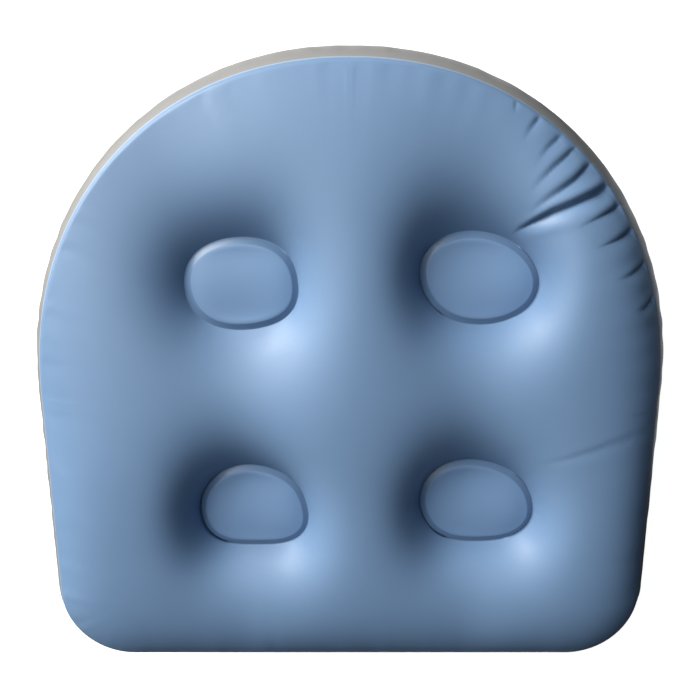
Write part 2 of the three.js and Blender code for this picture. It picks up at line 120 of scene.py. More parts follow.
def smooth_step(low: float, high: float, values: np.ndarray) -> np.ndarray:
    """Rises smoothly from 0 at low to 1 at high."""
    share = np.clip((values - low) / (high - low), 0.0, 1.0)
    return share * share * (3 - 2 * share)


def slow_waves(seed: int, turns: np.ndarray, most: int, least: int = 2) -> np.ndarray:
    """A closed wandering line over whole turns, about -1 to 1.

    Args:
        seed: which line.
        turns: where to read it, 0 to 1 for once round.
        most: the most waves in one round.
        least: the fewest waves in one round.

    Returns:
        The line's values there.
    """
    draw = np.random.default_rng(seed)
    total = np.zeros_like(turns)
    for waves in range(least, most + 1):
        total += draw.normal() * np.sin(2 * math.pi * (waves * turns + draw.random()))
    return total / math.sqrt((most - least + 1) / 2) / 2


@dataclass(frozen=True)
class Outline:
    """The pillow's outline in plan, along the wall's widest line, anticlockwise from the arch's right end."""

    length: float = 397.0
    arch_half_width: float = 200.0
    arch_height: float = 206.5
    arch_exponent: float = 2.11
    base_half_width: float = 202.5
    corner_radius: float = 56.0
    fine_steps: int = 900

    @property
    def spring_y(self) -> float:
        """Where the arch springs from the straight sides."""
        return self.length / 2 - self.arch_height

    def runs(self) -> list[np.ndarray]:
        """The four quarters as fine lines: right to top, top to left, left to bottom, bottom to right.

        Returns:
            Each quarter's points in plan.
        """
        turn = np.linspace(0.0, math.pi / 2, self.fine_steps)
        power = 2 / self.arch_exponent
        arch = np.column_stack([
            self.arch_half_width * np.cos(turn).clip(0) ** power,
            self.spring_y + self.arch_height * np.sin(turn) ** power,
        ])
        corner = np.array([self.base_half_width - self.corner_radius, self.corner_radius - self.length / 2])
        round_it = corner + self.corner_radius * np.column_stack([np.cos(turn), -np.sin(turn)])
        lower = np.concatenate([arch[:1], round_it, [[0.0, -self.length / 2]]])
        flip = np.array([-1.0, 1.0])
        return [arch, arch[::-1] * flip, lower * flip, lower[::-1]]

    def loop(self, quarters: Sequence[np.ndarray]) -> "Rim":
        """The closed line through the given shares of each quarter.

        Args:
            quarters: the shares along each quarter at which the points lie.

        Returns:
            The line, with the way out at each point.
        """
        points = []
        for run, shares in zip(self.runs(), quarters):
            travel = np.concatenate([[0.0], np.cumsum(np.linalg.norm(np.diff(run, axis=0), axis=1))])
            points.append(np.column_stack([np.interp(shares * travel[-1], travel, run[:, k]) for k in (0, 1)]))
        starts = np.cumsum([0] + [len(q) for q in quarters])[:-1]
        return Rim(np.concatenate(points), starts)


class Rim:
    """The outline's points with the way out at each, and the first point of each quarter."""

    def __init__(self, points: np.ndarray, starts: np.ndarray) -> None:
        """Keeps the points and works out which way is out.

        Args:
            points: the outline's points in plan.
            starts: the number of each quarter's first point.
        """
        along = unit(np.roll(points, -1, axis=0) - np.roll(points, 1, axis=0))
        self.points = points
        self.starts = starts
        self.out = np.column_stack([along[:, 1], -along[:, 0]])
        steps = np.linalg.norm(np.roll(points, -1, axis=0) - points, axis=1)
        self.turns = np.concatenate([[0.0], np.cumsum(steps)[:-1]]) / steps.sum()

    def at(self, out: float | np.ndarray, up: float | np.ndarray) -> np.ndarray:
        """Points out from the outline and up from the middle plane.

        Args:
            out: how far out, one value or one for each point.
            up: how far up, one value or one for each point.

        Returns:
            One point in space for each point of the outline.
        """
        shift = np.broadcast_to(np.asarray(out, float), (len(self.points),))[:, None] * self.out
        rise = np.broadcast_to(np.asarray(up, float), (len(self.points),))
        return np.column_stack([self.points + shift, rise])


@dataclass(frozen=True)
class WallArc:
    """The wall's cross-section: an arc that bulges out between the two seams."""

    radius: float = 45.0
    half_degrees: float = 44.5
    film: float = 0.5

    def at(self, degrees: np.ndarray | float, lift: float | np.ndarray = 0.0) -> tuple[np.ndarray, np.ndarray]:
        """How far out and up a point of the arc is.

        Args:
            degrees: the place on the arc, above the middle plane.
            lift: how far outside the wall's face.

        Returns:
            The distances out from the outline and up from the middle plane.
        """
        turn = np.radians(degrees)
        return (self.radius + lift) * np.cos(turn) - self.radius, (self.radius + lift) * np.sin(turn)


@dataclass(frozen=True)
class OvalWelds:
    """The four oval welds, and the section of a weld's band from its outer edge in."""

    half_width: float = 35.6
    half_height: float = 28.4
    column_spacing: float = 143.8
    row_spacing: float = 145.0
    pattern_x: float = 7.2
    pattern_y: float = -8.2
    row_rise: float = 3.0
    height: float = 20.0
    dome_rise: float = 2.8
    dome_forms: dict[Corner, tuple[float, float]] = field(default_factory=lambda: {
        Corner.UPPER_RIGHT: (1.6, 1.2), Corner.UPPER_LEFT: (2.0, -0.3), Corner.LOWER_LEFT: (1.6, 1.4),
        Corner.LOWER_RIGHT: (1.6, 1.8),
    })
    weld_width: float = 4.0
    band: tuple[tuple[float, float, float], ...] = (
        (0.0, 0.0, 0.0), (0.25, 0.16, 0.05), (0.5, 0.2, 0.1), (0.8, 0.26, 0.2), (1.3, 0.5, 0.45),
        (2.0, 0.86, 0.8), (2.7, 1.22, 1.15), (3.3, 1.53, 1.45), (3.7, 1.74, 1.65), (4.1, 1.88, 1.8),
        (5.2, 2.05, 2.05),
    )
    dome_shares: tuple[float, ...] = (0.93, 0.83, 0.68, 0.5, 0.32, 0.15)
    edge_shares: dict[Corner, tuple[float, ...]] = field(default_factory=lambda: {
        Corner.UPPER_RIGHT: (0.993, -0.053, 0.005, 0.012, -0.055, 0.013, 0.003, -0.006, -0.005, 0.001, 0.0),
        Corner.UPPER_LEFT: (0.986, -0.009, -0.007, -0.009, 0.001, -0.001, -0.004, -0.017, -0.009, -0.003, 0.001),
        Corner.LOWER_LEFT: (1.014, 0.056, -0.053, -0.011, -0.02, 0.003, -0.04, -0.023, -0.006, -0.011, 0.01),
        Corner.LOWER_RIGHT: (1.04, 0.084, -0.03, 0.005, -0.05, 0.014, -0.027, -0.013, -0.009, -0.011, 0.003),
    })

    def centre(self, corner: Corner) -> np.ndarray:
        """The middle of one oval, in plan.

        Args:
            corner: which oval.

        Returns:
            The point in plan.
        """
        across, up = corner.value
        return np.array([
            self.pattern_x + across * self.column_spacing / 2,
            self.pattern_y + up * self.row_spacing / 2 + across * self.row_rise / 2,
        ])

    def edge(self, corner: Corner, turns: np.ndarray, inset: float = 0.0) -> np.ndarray:
        """Points of the oval, moved in from its outer edge.

        Args:
            corner: which oval.
            turns: the turns round it.
            inset: how far in from its edge.

        Returns:
            The points in plan.
        """
        even, *waves = self.edge_shares[corner]
        fine = np.linspace(0.0, 2 * math.pi, OVAL_STEPS)
        reach = np.full_like(fine, even)
        for order, (along, across) in enumerate(zip(waves[::2], waves[1::2]), start=1):
            reach += along * np.cos(order * fine) + across * np.sin(order * fine)
        spot = reach[:, None] * np.column_stack([self.half_width * np.cos(fine), self.half_height * np.sin(fine)])
        slope = unit(np.gradient(spot, axis=0, edge_order=2))
        spot -= inset * np.column_stack([slope[:, 1], -slope[:, 0]])
        wrapped = np.mod(turns, 2 * math.pi)
        return self.centre(corner) + np.column_stack([np.interp(wrapped, fine, spot[:, k]) for k in (0, 1)])


# ---- the inflated films ----


class PlanMesh:
    """A film's mesh in plan: rings round each oval, out to the seam and to four spokes that the cells share."""

    skirt_steps = 30
    spoke_steps = 46
    even_share = 0.55
    skirt_pinch = 0.09

    def __init__(self, rim: Rim, edge: np.ndarray, hub: np.ndarray, welds: OvalWelds) -> None:
        """Lays the mesh out.

        Args:
            rim: the outline.
            edge: the seam's points in plan, one for each of the rim's.
            hub: where the spokes meet.
            welds: the oval welds.
        """
        self.welds = welds
        self.places = [np.asarray(edge, float)]
        self.count = len(edge)
        self.faces: list[tuple[int, ...]] = []
        self.rise: dict[int, tuple[float, float]] = {}
        self.welded: list[int] = []
        # the points inside the ovals' welds, where the finish paints light onto the domes
        self.padded: list[int] = []
        self.seam = np.arange(self.count)
        self.hub = int(self._add(hub[None])[0])
        shares = np.arange(1, self.spoke_steps)[:, None] / self.spoke_steps
        self.spokes = [self._add(hub + shares * (edge[start] - hub)) for start in rim.starts]
        ends = [*rim.starts[1:], len(edge)]
        for cell, corner in enumerate(Corner):
            following = (cell + 1) % len(Corner)
            along = np.arange(rim.starts[cell], ends[cell] + 1) % len(edge)
            loop = np.concatenate([along, self.spokes[following][::-1], [self.hub], self.spokes[cell]])
            self._cell(corner, loop)
        self.xy = np.concatenate(self.places)

    def _add(self, points: np.ndarray) -> np.ndarray:
        """Adds points and gives their numbers.

        Args:
            points: the points in plan.

        Returns:
            Their numbers.
        """
        self.places.append(np.asarray(points, float))
        self.count += len(points)
        return np.arange(self.count - len(points), self.count)

    def _turns(self, corner: Corner, loop: np.ndarray) -> np.ndarray:
        """The turn round the oval for each point of a cell's edge, between its own direction and an even spacing.

        Args:
            corner: which oval.
            loop: the numbers of the points on the cell's edge.

        Returns:
            The turns, rising, in radians.
        """
        points = np.concatenate(self.places)[loop]
        away = (points - self.welds.centre(corner)) / [self.welds.half_width, self.welds.half_height]
        own = np.unwrap(np.arctan2(away[:, 1], away[:, 0]))
        steps = np.linalg.norm(np.roll(points, -1, axis=0) - points, axis=1)
        travel = 2 * math.pi * np.concatenate([[0.0], np.cumsum(steps)[:-1]]) / steps.sum()
        drift = own - travel
        return travel + (1 - self.even_share) * drift + self.even_share * drift.mean()

    def _cell(self, corner: Corner, loop: np.ndarray) -> None:
        """Adds one cell: dome, weld band and skirt.

        Args:
            corner: which oval.
            loop: the numbers of the points on the cell's edge.
        """
        welds, turns = self.welds, self._turns(corner, loop)
        centre = welds.centre(corner)
        cup, lean = welds.dome_forms[corner]
        inset, top, _ = welds.band[-1]
        edge_places = np.concatenate(self.places)[loop]
        inner = welds.edge(corner, turns, inset)
        pole = int(self._add(centre[None])[0])
        self.rise[pole] = (welds.dome_rise, welds.dome_rise)
        self.padded.append(pole)
        thin, dome = len(loop), []
        for share in welds.dome_shares:
            ring = inner[:: len(loop) // thin]
            dome.append(self._add(centre + share * (ring - centre)))
            x, y = ((ring - centre) / [welds.half_width, welds.half_height]).T * share
            rises = top + (welds.dome_rise - top) * (1 - share**2)
            rises = rises + cup * (x**2 - y**2) * (1 - share**4) + lean * (x - y) * (1 - share**2)
            self.rise.update({int(i): (float(rise), float(rise)) for i, rise in zip(dome[-1], rises)})
            self.padded += dome[-1].tolist()
            if share != welds.dome_shares[0] and share != welds.dome_shares[-1]:
                thin //= 2
        rings = dome[::-1]
        for inset, outside, inside in reversed(welds.band):
            rings.append(self._add(welds.edge(corner, turns, inset)))
            self.rise.update({int(i): (outside, inside) for i in rings[-1]})
            (self.welded if inset < welds.weld_width else self.padded).extend(rings[-1].tolist())
        start = welds.edge(corner, turns)
        for share in self._skirt_shares():
            rings.append(self._add(start + share * (edge_places - start)))
        rings.append(loop)
        first = rings[0]
        self.faces += [(pole, int(here), int(ahead)) for here, ahead in zip(first, np.roll(first, -1))]
        for near, far in zip(rings, rings[1:]):
            self._band(near, far)

    def _skirt_shares(self) -> np.ndarray:
        """Where the skirt's rings lie, closer together at both of its ends."""
        even = np.arange(1, self.skirt_steps) / self.skirt_steps
        return even - self.skirt_pinch * np.sin(2 * math.pi * even)

    def _band(self, near: np.ndarray, far: np.ndarray) -> None:
        """Faces between two rings, the far one with as many points as the near one or twice as many.

        Args:
            near: the inner ring's points.
            far: the outer ring's points.
        """
        each = len(far) // len(near)
        starts, middles = far[::each], far[each // 2::each]
        rows = (near, np.roll(near, -1), starts, middles, np.roll(starts, -1))
        for here, ahead, a, b, c in zip(*(row.tolist() for row in rows)):
            if each == 1:
                self.faces.append((here, a, c, ahead))
            else:
                self.faces += [(here, a, b), (here, b, ahead), (ahead, b, c)]

    def triangles(self) -> np.ndarray:
        """The faces cut into triangles.

        Returns:
            Three point numbers for each triangle.
        """
        made = []
        for face in self.faces:
            made.append(face[:3])
            if len(face) == 4:
                made.append((face[0], face[2], face[3]))
        return np.array(made)


@dataclass(frozen=True)
class Inflation:
    """Heights of a film that is held at its seam and welds and rises under pressure until it levels off.

    Attributes:
        crown: the height the film levels off at.
        shoulder: how far it takes to get there.
        power: how suddenly it levels off.
        pull: how much harder it is pulled up and down the pillow than across.
        slack: how much more it gives across and up the pillow, a share for each millimetre.
        lean: how much higher it levels off across the pillow, a share for each millimetre.
        puffs: where it gives more or less than that, as (x, y, the natural logarithm of the share).
        puff_reach: how far each of these goes.
        troughs: how far across the low lines lie that join the ovals.
        trough_depth: how deep they are.
        trough_reach: half their width.
        trough_end: from where to where, up the pillow, they run out.
        floor: the welds' height.
        least_give: the least share that the slack leaves.
        least_area: the least area of a triangle, doubled.
        start_share: the share of its ceiling that it starts at.
        rounds: how often the whole is solved.
        sweeps: the most steps of one solution.
        tolerance: the share of the first fault at which a solution ends.
    """

    crown: float
    shoulder: float
    power: float
    pull: float = 1.0
    slack: tuple[float, float] = (0.0, 0.0)
    lean: float = 0.0
    puffs: tuple[tuple[float, float, float], ...] = ()
    puff_reach: float = 42.0
    troughs: tuple[float, ...] = ()
    trough_depth: float = 4.0
    trough_reach: float = 20.0
    trough_end: tuple[float, float] = (120.0, 180.0)
    floor: float = 20.0
    least_give: float = 0.1
    least_area: float = 1e-4
    start_share: float = 0.9
    rounds: int = 9
    sweeps: int = 260
    tolerance: float = 1e-9

    def _links(self, xy: np.ndarray, triangles: np.ndarray) -> tuple[np.ndarray, np.ndarray, np.ndarray, np.ndarray]:
        """The mesh's edges with their weights, and the area round each point.

        Args:
            xy: the points in plan.
            triangles: the mesh.

        Returns:
            The edges' near ends, their far ends, their weights, and each point's area.
        """
        ends, others, weights = [], [], []
        area = np.zeros(len(xy))
        pulled = xy * [math.sqrt(self.pull), 1 / math.sqrt(self.pull)]
        for k in range(3):
            near, far, apex = triangles[:, (k + 1) % 3], triangles[:, (k + 2) % 3], triangles[:, k]
            a, b = pulled[near] - pulled[apex], pulled[far] - pulled[apex]
            double = np.maximum(np.abs(a[:, 0] * b[:, 1] - a[:, 1] * b[:, 0]), self.least_area)
            weight = (a * b).sum(1) / double / 2
            ends += [near, far]
            others += [far, near]
            weights += [weight, weight]
            area += np.bincount(apex, double / 6, len(xy))
        return np.concatenate(ends), np.concatenate(others), np.concatenate(weights), area

    def _load(self, xy: np.ndarray) -> np.ndarray:
        """The pressure on each point.

        Args:
            xy: the points in plan.

        Returns:
            One pressure for each point.
        """
        give = np.maximum(1 + xy @ np.array(self.slack), self.least_give)
        for x, y, share in self.puffs:
            give = give * np.exp(share * np.exp(-((xy - [x, y]) ** 2).sum(1) / self.puff_reach**2))
        return 2 * (self.crown - self.floor) / self.shoulder**2 * give

    def _ceiling(self, xy: np.ndarray) -> np.ndarray:
        """The height above the welds that the film levels off at.

        Args:
            xy: the points in plan.

        Returns:
            One height for each point.
        """
        top = (self.crown - self.floor) * (1 + self.lean * xy[:, 0])
        below = 1 - smooth_step(*self.trough_end, xy[:, 1])
        for x in self.troughs:
            top = top - self.trough_depth * np.exp(-(((xy[:, 0] - x) / self.trough_reach) ** 2)) * below
        return top

    def solve(self, xy: np.ndarray, triangles: np.ndarray, held: np.ndarray, heights: np.ndarray) -> np.ndarray:
        """Settles the free points.

        Args:
            xy: the points in plan.
            triangles: the mesh.
            held: which points keep their height.
            heights: the held heights, and any number elsewhere.

        Returns:
            The heights of all points.
        """
        ends, others, weights, area = self._links(xy, triangles)
        size, free = len(xy), ~held
        sum_of = np.bincount(ends, weights, size)
        ceiling, load = self._ceiling(xy), self._load(xy) * area
        w = np.where(held, heights - self.floor, self.start_share * ceiling)

        def laplace(v: np.ndarray) -> np.ndarray:
            """How far each point stands above its neighbours."""
            return sum_of * v - np.bincount(ends, weights * v[others], size)

        for _ in range(self.rounds):
            share = np.maximum(w, 0.0) / ceiling
            rest = np.where(free, load * (1 - share**self.power) - laplace(w), 0.0)
            knee = load * self.power * share ** (self.power - 1) / ceiling
            scale = np.where(free, 1 / (sum_of + knee), 0.0)
            step, left = np.zeros(size), rest.copy()
            z = scale * left
            push, measure = z.copy(), float(left @ z)
            start = measure
            for _ in range(self.sweeps):
                if measure < self.tolerance * start:
                    break
                out = np.where(free, laplace(push) + knee * push, 0.0)
                stride = measure / float(push @ out)
                step += stride * push
                left -= stride * out
                z = scale * left
                fresh = float(left @ z)
                push = z + fresh / measure * push
                measure = fresh
            w = w + step
        return w + self.floor


@dataclass(frozen=True)
class FoldSide:
    """One side of a fold's section, its lengths in half widths of the fold and its heights in depths.

    Attributes:
        reach: how far the groove's side goes.
        power: how suddenly it rises.
        ridge: how high the ridge beside it is.
        ridge_place: how far out the ridge lies.
        ridge_reach: half the ridge's width.
    """

    reach: float
    power: float
    ridge: float = 0.0
    ridge_place: float = 0.0
    ridge_reach: float = 1.0

    def height(self, far: np.ndarray) -> np.ndarray:
        """The section's height, this far from the fold's line."""
        ridge = self.ridge * np.exp(-(((far - self.ridge_place) / self.ridge_reach) ** 2))
        return ridge - np.exp(-((far / self.reach) ** self.power))


@dataclass(frozen=True)
class Pleat:
    """A fold that runs in from the seam.

    Attributes:
        path: its line in plan, from the seam to its tip.
        width: half its width at the seam.
        depth: how deep its groove is.
        hold: how far along it keeps its depth, 0 to 1.
        overrun: how many half widths it runs on past the seam.
        taper: the share of its width that it loses by its tip.
        mouth_share: the share of its depth that it has at the seam.
        mouth: how far along it has its whole depth.
        join: how far from its line its bottom goes over into its sides.
        steep: its side up the pillow.
        gentle: its side down the pillow.
        bottom: its bottom.
    """

    path: tuple[tuple[float, float], ...]
    width: float
    depth: float
    hold: float = 0.35
    overrun: float = 4.0
    taper: float = 0.5
    mouth_share: float = 0.45
    mouth: float = 0.12
    join: float = 0.5
    steep: FoldSide = FoldSide(0.46, 1.2, 0.05, 1.5, 0.9)
    gentle: FoldSide = FoldSide(1.35, 0.85, 0.08, 3.0, 1.6)
    bottom: FoldSide = FoldSide(0.62, 1.2)

    def lift(self, xy: np.ndarray) -> np.ndarray:
        """How far the fold moves each point along the film's normal.

        Args:
            xy: the points in plan.

        Returns:
            One distance for each point, below zero inwards.
        """
        path = np.array(self.path)
        steps = np.linalg.norm(np.diff(path, axis=0), axis=1)
        starts = np.concatenate([[0.0], np.cumsum(steps)])
        best = np.full(len(xy), np.inf)
        side, along = np.zeros(len(xy)), np.zeros(len(xy))
        for k, length in enumerate(steps):
            way = (path[k + 1] - path[k]) / length
            away = xy - path[k]
            travel = away @ way
            inside = np.clip(travel, 0.0 if k else -self.overrun * self.width, length)
            gap = away - inside[:, None] * way
            distance = np.linalg.norm(gap, axis=1)
            nearer = distance < best
            best = np.where(nearer, distance, best)
            side = np.where(nearer, np.sign(way[0] * away[:, 1] - way[1] * away[:, 0]) * distance, side)
            along = np.where(nearer, (starts[k] + np.clip(travel, 0.0, length)) / starts[-1], along)
        across = side / (self.width * (1 - self.taper * along))
        opening = self.mouth_share + (1 - self.mouth_share) * smooth_step(0.0, self.mouth, along)
        depth = self.depth * opening * (1 - smooth_step(self.hold, 1.0, along))
        far = np.abs(across)
        near = 1 - smooth_step(0.0, self.join, far)
        section = np.where(across < 0, self.steep.height(far), self.gentle.height(far))
        return depth * (section * (1 - near) + near * self.bottom.height(far))


@dataclass(frozen=True)
class SeamDetail:
    """How a film is lapped over the wall's edge, and how unevenly.

    Attributes:
        film: the film's thickness.
        gap: how far the hem stands off the wall.
        hem_width: how far the lap goes down the wall.
        wander: how much that varies.
        hem_waves: the most and the fewest waves in which it does.
        tuck_reach: how far along the seam, up the pillow from a fold, the hem is drawn in.
        tuck_depth: how far it is drawn in.
        tuck_step: how far it is drawn in down the pillow from a fold.
        full_tuck: the depth of a fold that draws it in fully.
        pucker_depth: how deep the small puckers are.
        pucker_reach: how far in from the seam they go.
        pucker_start: how far in from the seam they have their depth.
        pucker_waves: the most and the fewest of them once round.
        outer_rows: the lap's outer rows, as (share of the way down, gaps, films, strength of the painted highlight
            along the hem).
        inner_rows: its inner rows, as (share of the way down, gaps).
        seed: which line the hem and the puckers follow.
    """

    film: float = 0.5
    gap: float = 0.05
    hem_width: float = 3.1
    wander: float = 0.12
    hem_waves: tuple[int, int] = (60, 4)
    tuck_reach: float = 4.5
    tuck_depth: float = 2.7
    tuck_step: float = 0.5
    full_tuck: float = 2.2
    pucker_depth: float = 0.22
    pucker_reach: float = 13.0
    pucker_start: float = 3.0
    pucker_waves: tuple[int, int] = (90, 30)
    outer_rows: tuple[tuple[float, float, float, float], ...] = (
        (0.12, 1.88, 1.0, 0.0), (0.35, 1.65, 1.0, 0.0), (0.55, 1.45, 1.0, 0.0), (0.65, 1.35, 1.0, 0.8),
        (0.9, 1.1, 1.0, 1.0), (0.98, 1.0, 0.86, 1.0), (1.0, 1.0, 0.5, 1.0),
    )
    inner_rows: tuple[tuple[float, float], ...] = ((0.35, 1.65), (0.7, 1.3), (0.985, 1.015))
    seed: int = 3


class InflatedFilm:
    """One of the two large films: inflated, welded at four ovals and lapped over the wall's edge."""

    def __init__(self, side: Side, pleats: Sequence[Pleat], quarters: Sequence[np.ndarray],
                 outline: Outline, wall: WallArc, welds: OvalWelds, form: Inflation, detail: SeamDetail) -> None:
        """Shapes the film.

        Args:
            side: face or back.
            pleats: its folds.
            quarters: where its seam's points lie in each quarter of the outline.
            outline: the pillow's outline.
            wall: the wall's section.
            welds: the oval welds.
            form: how it rises.
            detail: the seam's sizes.
        """
        self.side, self.pleats, self.wall, self.welds, self.detail = side, pleats, wall, welds, detail
        self.form = form
        self.rim = outline.loop(quarters)
        self.seam_inside = self.rim.at(*wall.at(wall.half_degrees, detail.gap * 2))
        self.plan = PlanMesh(self.rim, self.seam_inside[:, :2], np.array([0.0, outline.spring_y]), welds)
        self.outer, self.inner = self._skins()

    def _skins(self) -> tuple[np.ndarray, np.ndarray]:
        """The film's two skins, seen as the upper film.

        Returns:
            The points of the outer and of the inner skin.
        """
        plan, detail = self.plan, self.detail
        size = len(plan.xy)
        held, inside, extra = np.zeros(size, bool), np.zeros(size), np.zeros(size)
        held[plan.seam] = True
        inside[plan.seam] = self.seam_inside[:, 2]
        for i, (outer, inner) in plan.rise.items():
            held[i] = True
            inside[i] = self.welds.height + inner
            extra[i] = outer - inner
        triangles = plan.triangles()
        heights = self.form.solve(plan.xy, triangles, held, inside)
        inner = np.column_stack([plan.xy, heights])
        normals = self._normals(inner, triangles)
        lift = self._folds(plan.xy) * ~held
        inner = inner + normals * lift[:, None]
        outer = inner + normals * detail.film
        outer[:, 2] += extra
        outer[plan.seam] = self._lap_row(self.wall.half_degrees, detail.gap * 2 + detail.film)
        inner[plan.seam] = self._lap_row(self.wall.half_degrees, detail.gap * 2)
        return outer, inner

    @staticmethod
    def _normals(points: np.ndarray, triangles: np.ndarray) -> np.ndarray:
        """Unit normals of a triangle mesh, one for each point.

        Args:
            points: the mesh's points.
            triangles: its triangles.

        Returns:
            The normals.
        """
        a, b, c = (points[triangles[:, k]] for k in range(3))
        faces = np.cross(b - a, c - a)
        total = np.zeros_like(points)
        for corner in range(3):
            for axis in range(3):
                total[:, axis] += np.bincount(triangles[:, corner], faces[:, axis], len(points))
        return unit(total)

    def _seam_distance(self, xy: np.ndarray) -> tuple[np.ndarray, np.ndarray]:
        """How far each point is from the seam, and the turn of the seam's nearest point.

        Args:
            xy: the points in plan.

        Returns:
            The distances, and the turns from 0 to 1.
        """
        seam = self.seam_inside[:, :2]
        away, turns = np.empty(len(xy)), np.empty(len(xy))
        for start in range(0, len(xy), BATCH):
            part = xy[start:start + BATCH]
            gaps = ((part[:, None] - seam[None, ::2]) ** 2).sum(2)
            nearest = gaps.argmin(1)
            away[start:start + BATCH] = np.sqrt(gaps[np.arange(len(part)), nearest])
            turns[start:start + BATCH] = self.rim.turns[::2][nearest]
        return away, turns

    def _folds(self, xy: np.ndarray) -> np.ndarray:
        """How far the folds and the seam's small puckers move each point along its normal.

        Args:
            xy: the points in plan.

        Returns:
            One distance for each point.
        """
        detail = self.detail
        away, turns = self._seam_distance(xy)
        waves = slow_waves(detail.seed, turns, *detail.pucker_waves)
        fade = np.exp(-away / detail.pucker_reach) * smooth_step(0.0, detail.pucker_start, away)
        total = detail.pucker_depth * waves * fade
        for pleat in self.pleats:
            total = total + pleat.lift(xy)
        return total

    def _tucks(self) -> np.ndarray:
        """How strongly each of the seam's points is drawn in by a pleat, 0 to 1, with a step out below each.

        Returns:
            One strength for each point of the seam.
        """
        detail, pull = self.detail, np.zeros(len(self.rim.points))
        for pleat in self.pleats:
            away = self.seam_inside[:, :2] - np.array(pleat.path[0])
            square = (away**2).sum(1)
            gap = np.sqrt(square - square.min()) * np.sign(away[:, 1] - away[square.argmin(), 1])
            fall = np.where(gap > 0, detail.tuck_reach, detail.tuck_step)
            pull = np.maximum(pull, min(pleat.depth / detail.full_tuck, 1.0) * np.exp(-np.abs(gap) / fall))
        return np.minimum(pull, 1.0)

    def _lap_row(self, degrees: float | np.ndarray, lift: float) -> np.ndarray:
        """One row of the lap, on the wall's arc at the given place."""
        return self.rim.at(*self.wall.at(degrees, lift))

    def _lap(self) -> tuple[list[np.ndarray], list[np.ndarray]]:
        """The lap's outer and inner rows, from the seam down to the hem.

        Returns:
            The outer rows and the inner rows.
        """
        detail, wall = self.detail, self.wall
        width = detail.hem_width + detail.wander * slow_waves(detail.seed + 1, self.rim.turns, *detail.hem_waves)
        width = width - detail.tuck_depth * self._tucks()
        drop = np.degrees(width / wall.radius)
        outer = [self._lap_row(wall.half_degrees - share * drop, detail.gap * gaps + detail.film * films)
                 for share, gaps, films, _ in detail.outer_rows]
        inner = [self._lap_row(wall.half_degrees - share * drop, detail.gap * gaps)
                 for share, gaps in detail.inner_rows]
        return outer, inner

    def shell(self) -> tuple[np.ndarray, list[tuple[int, ...]], dict[str, np.ndarray]]:
        """The closed film with its hem.

        Returns:
            The points about the middle plane, the faces, and the marks for the finish: weld on the oval
            bands, painted light on the domes inside them, and a painted highlight along the lap's edge.
        """
        outer_rows, inner_rows = self._lap()
        points = np.concatenate([self.outer, self.inner, *outer_rows, *inner_rows])
        size, seam = len(self.outer), self.plan.seam
        faces = list(self.plan.faces)
        faces += [tuple(i + size for i in reversed(face)) for face in self.plan.faces]
        count = len(seam)
        rows = [seam] + [2 * size + k * count + np.arange(count) for k in range(len(outer_rows) + len(inner_rows))]
        down = rows[:len(outer_rows) + 1]
        back = [rows[len(outer_rows)], *reversed(rows[len(outer_rows) + 1:]), seam + size]
        for line in (down, back):
            for near, far in zip(line, line[1:]):
                ahead, beyond = np.roll(near, -1), np.roll(far, -1)
                faces += [tuple(map(int, quad)) for quad in zip(near, far, beyond, ahead)]
        # marks: the weld bands, painted light on the domes inside the ovals, a painted highlight along the lap's
        # edge
        weld, pad, hem = (np.zeros(len(points)) for _ in range(3))
        weld[self.plan.welded] = pad[self.plan.padded] = 1.0
        # the lap's lowest outer rows carry the painted highlight along the hem's edge
        for row, (*_, mark) in zip(rows[1:], self.detail.outer_rows):
            hem[row] = mark
        if self.side is Side.BACK:
            points = points * [1.0, 1.0, -1.0]
            faces = [tuple(reversed(face)) for face in faces]
        return points, faces, {"weld": weld, "pad": pad, "hem": hem}


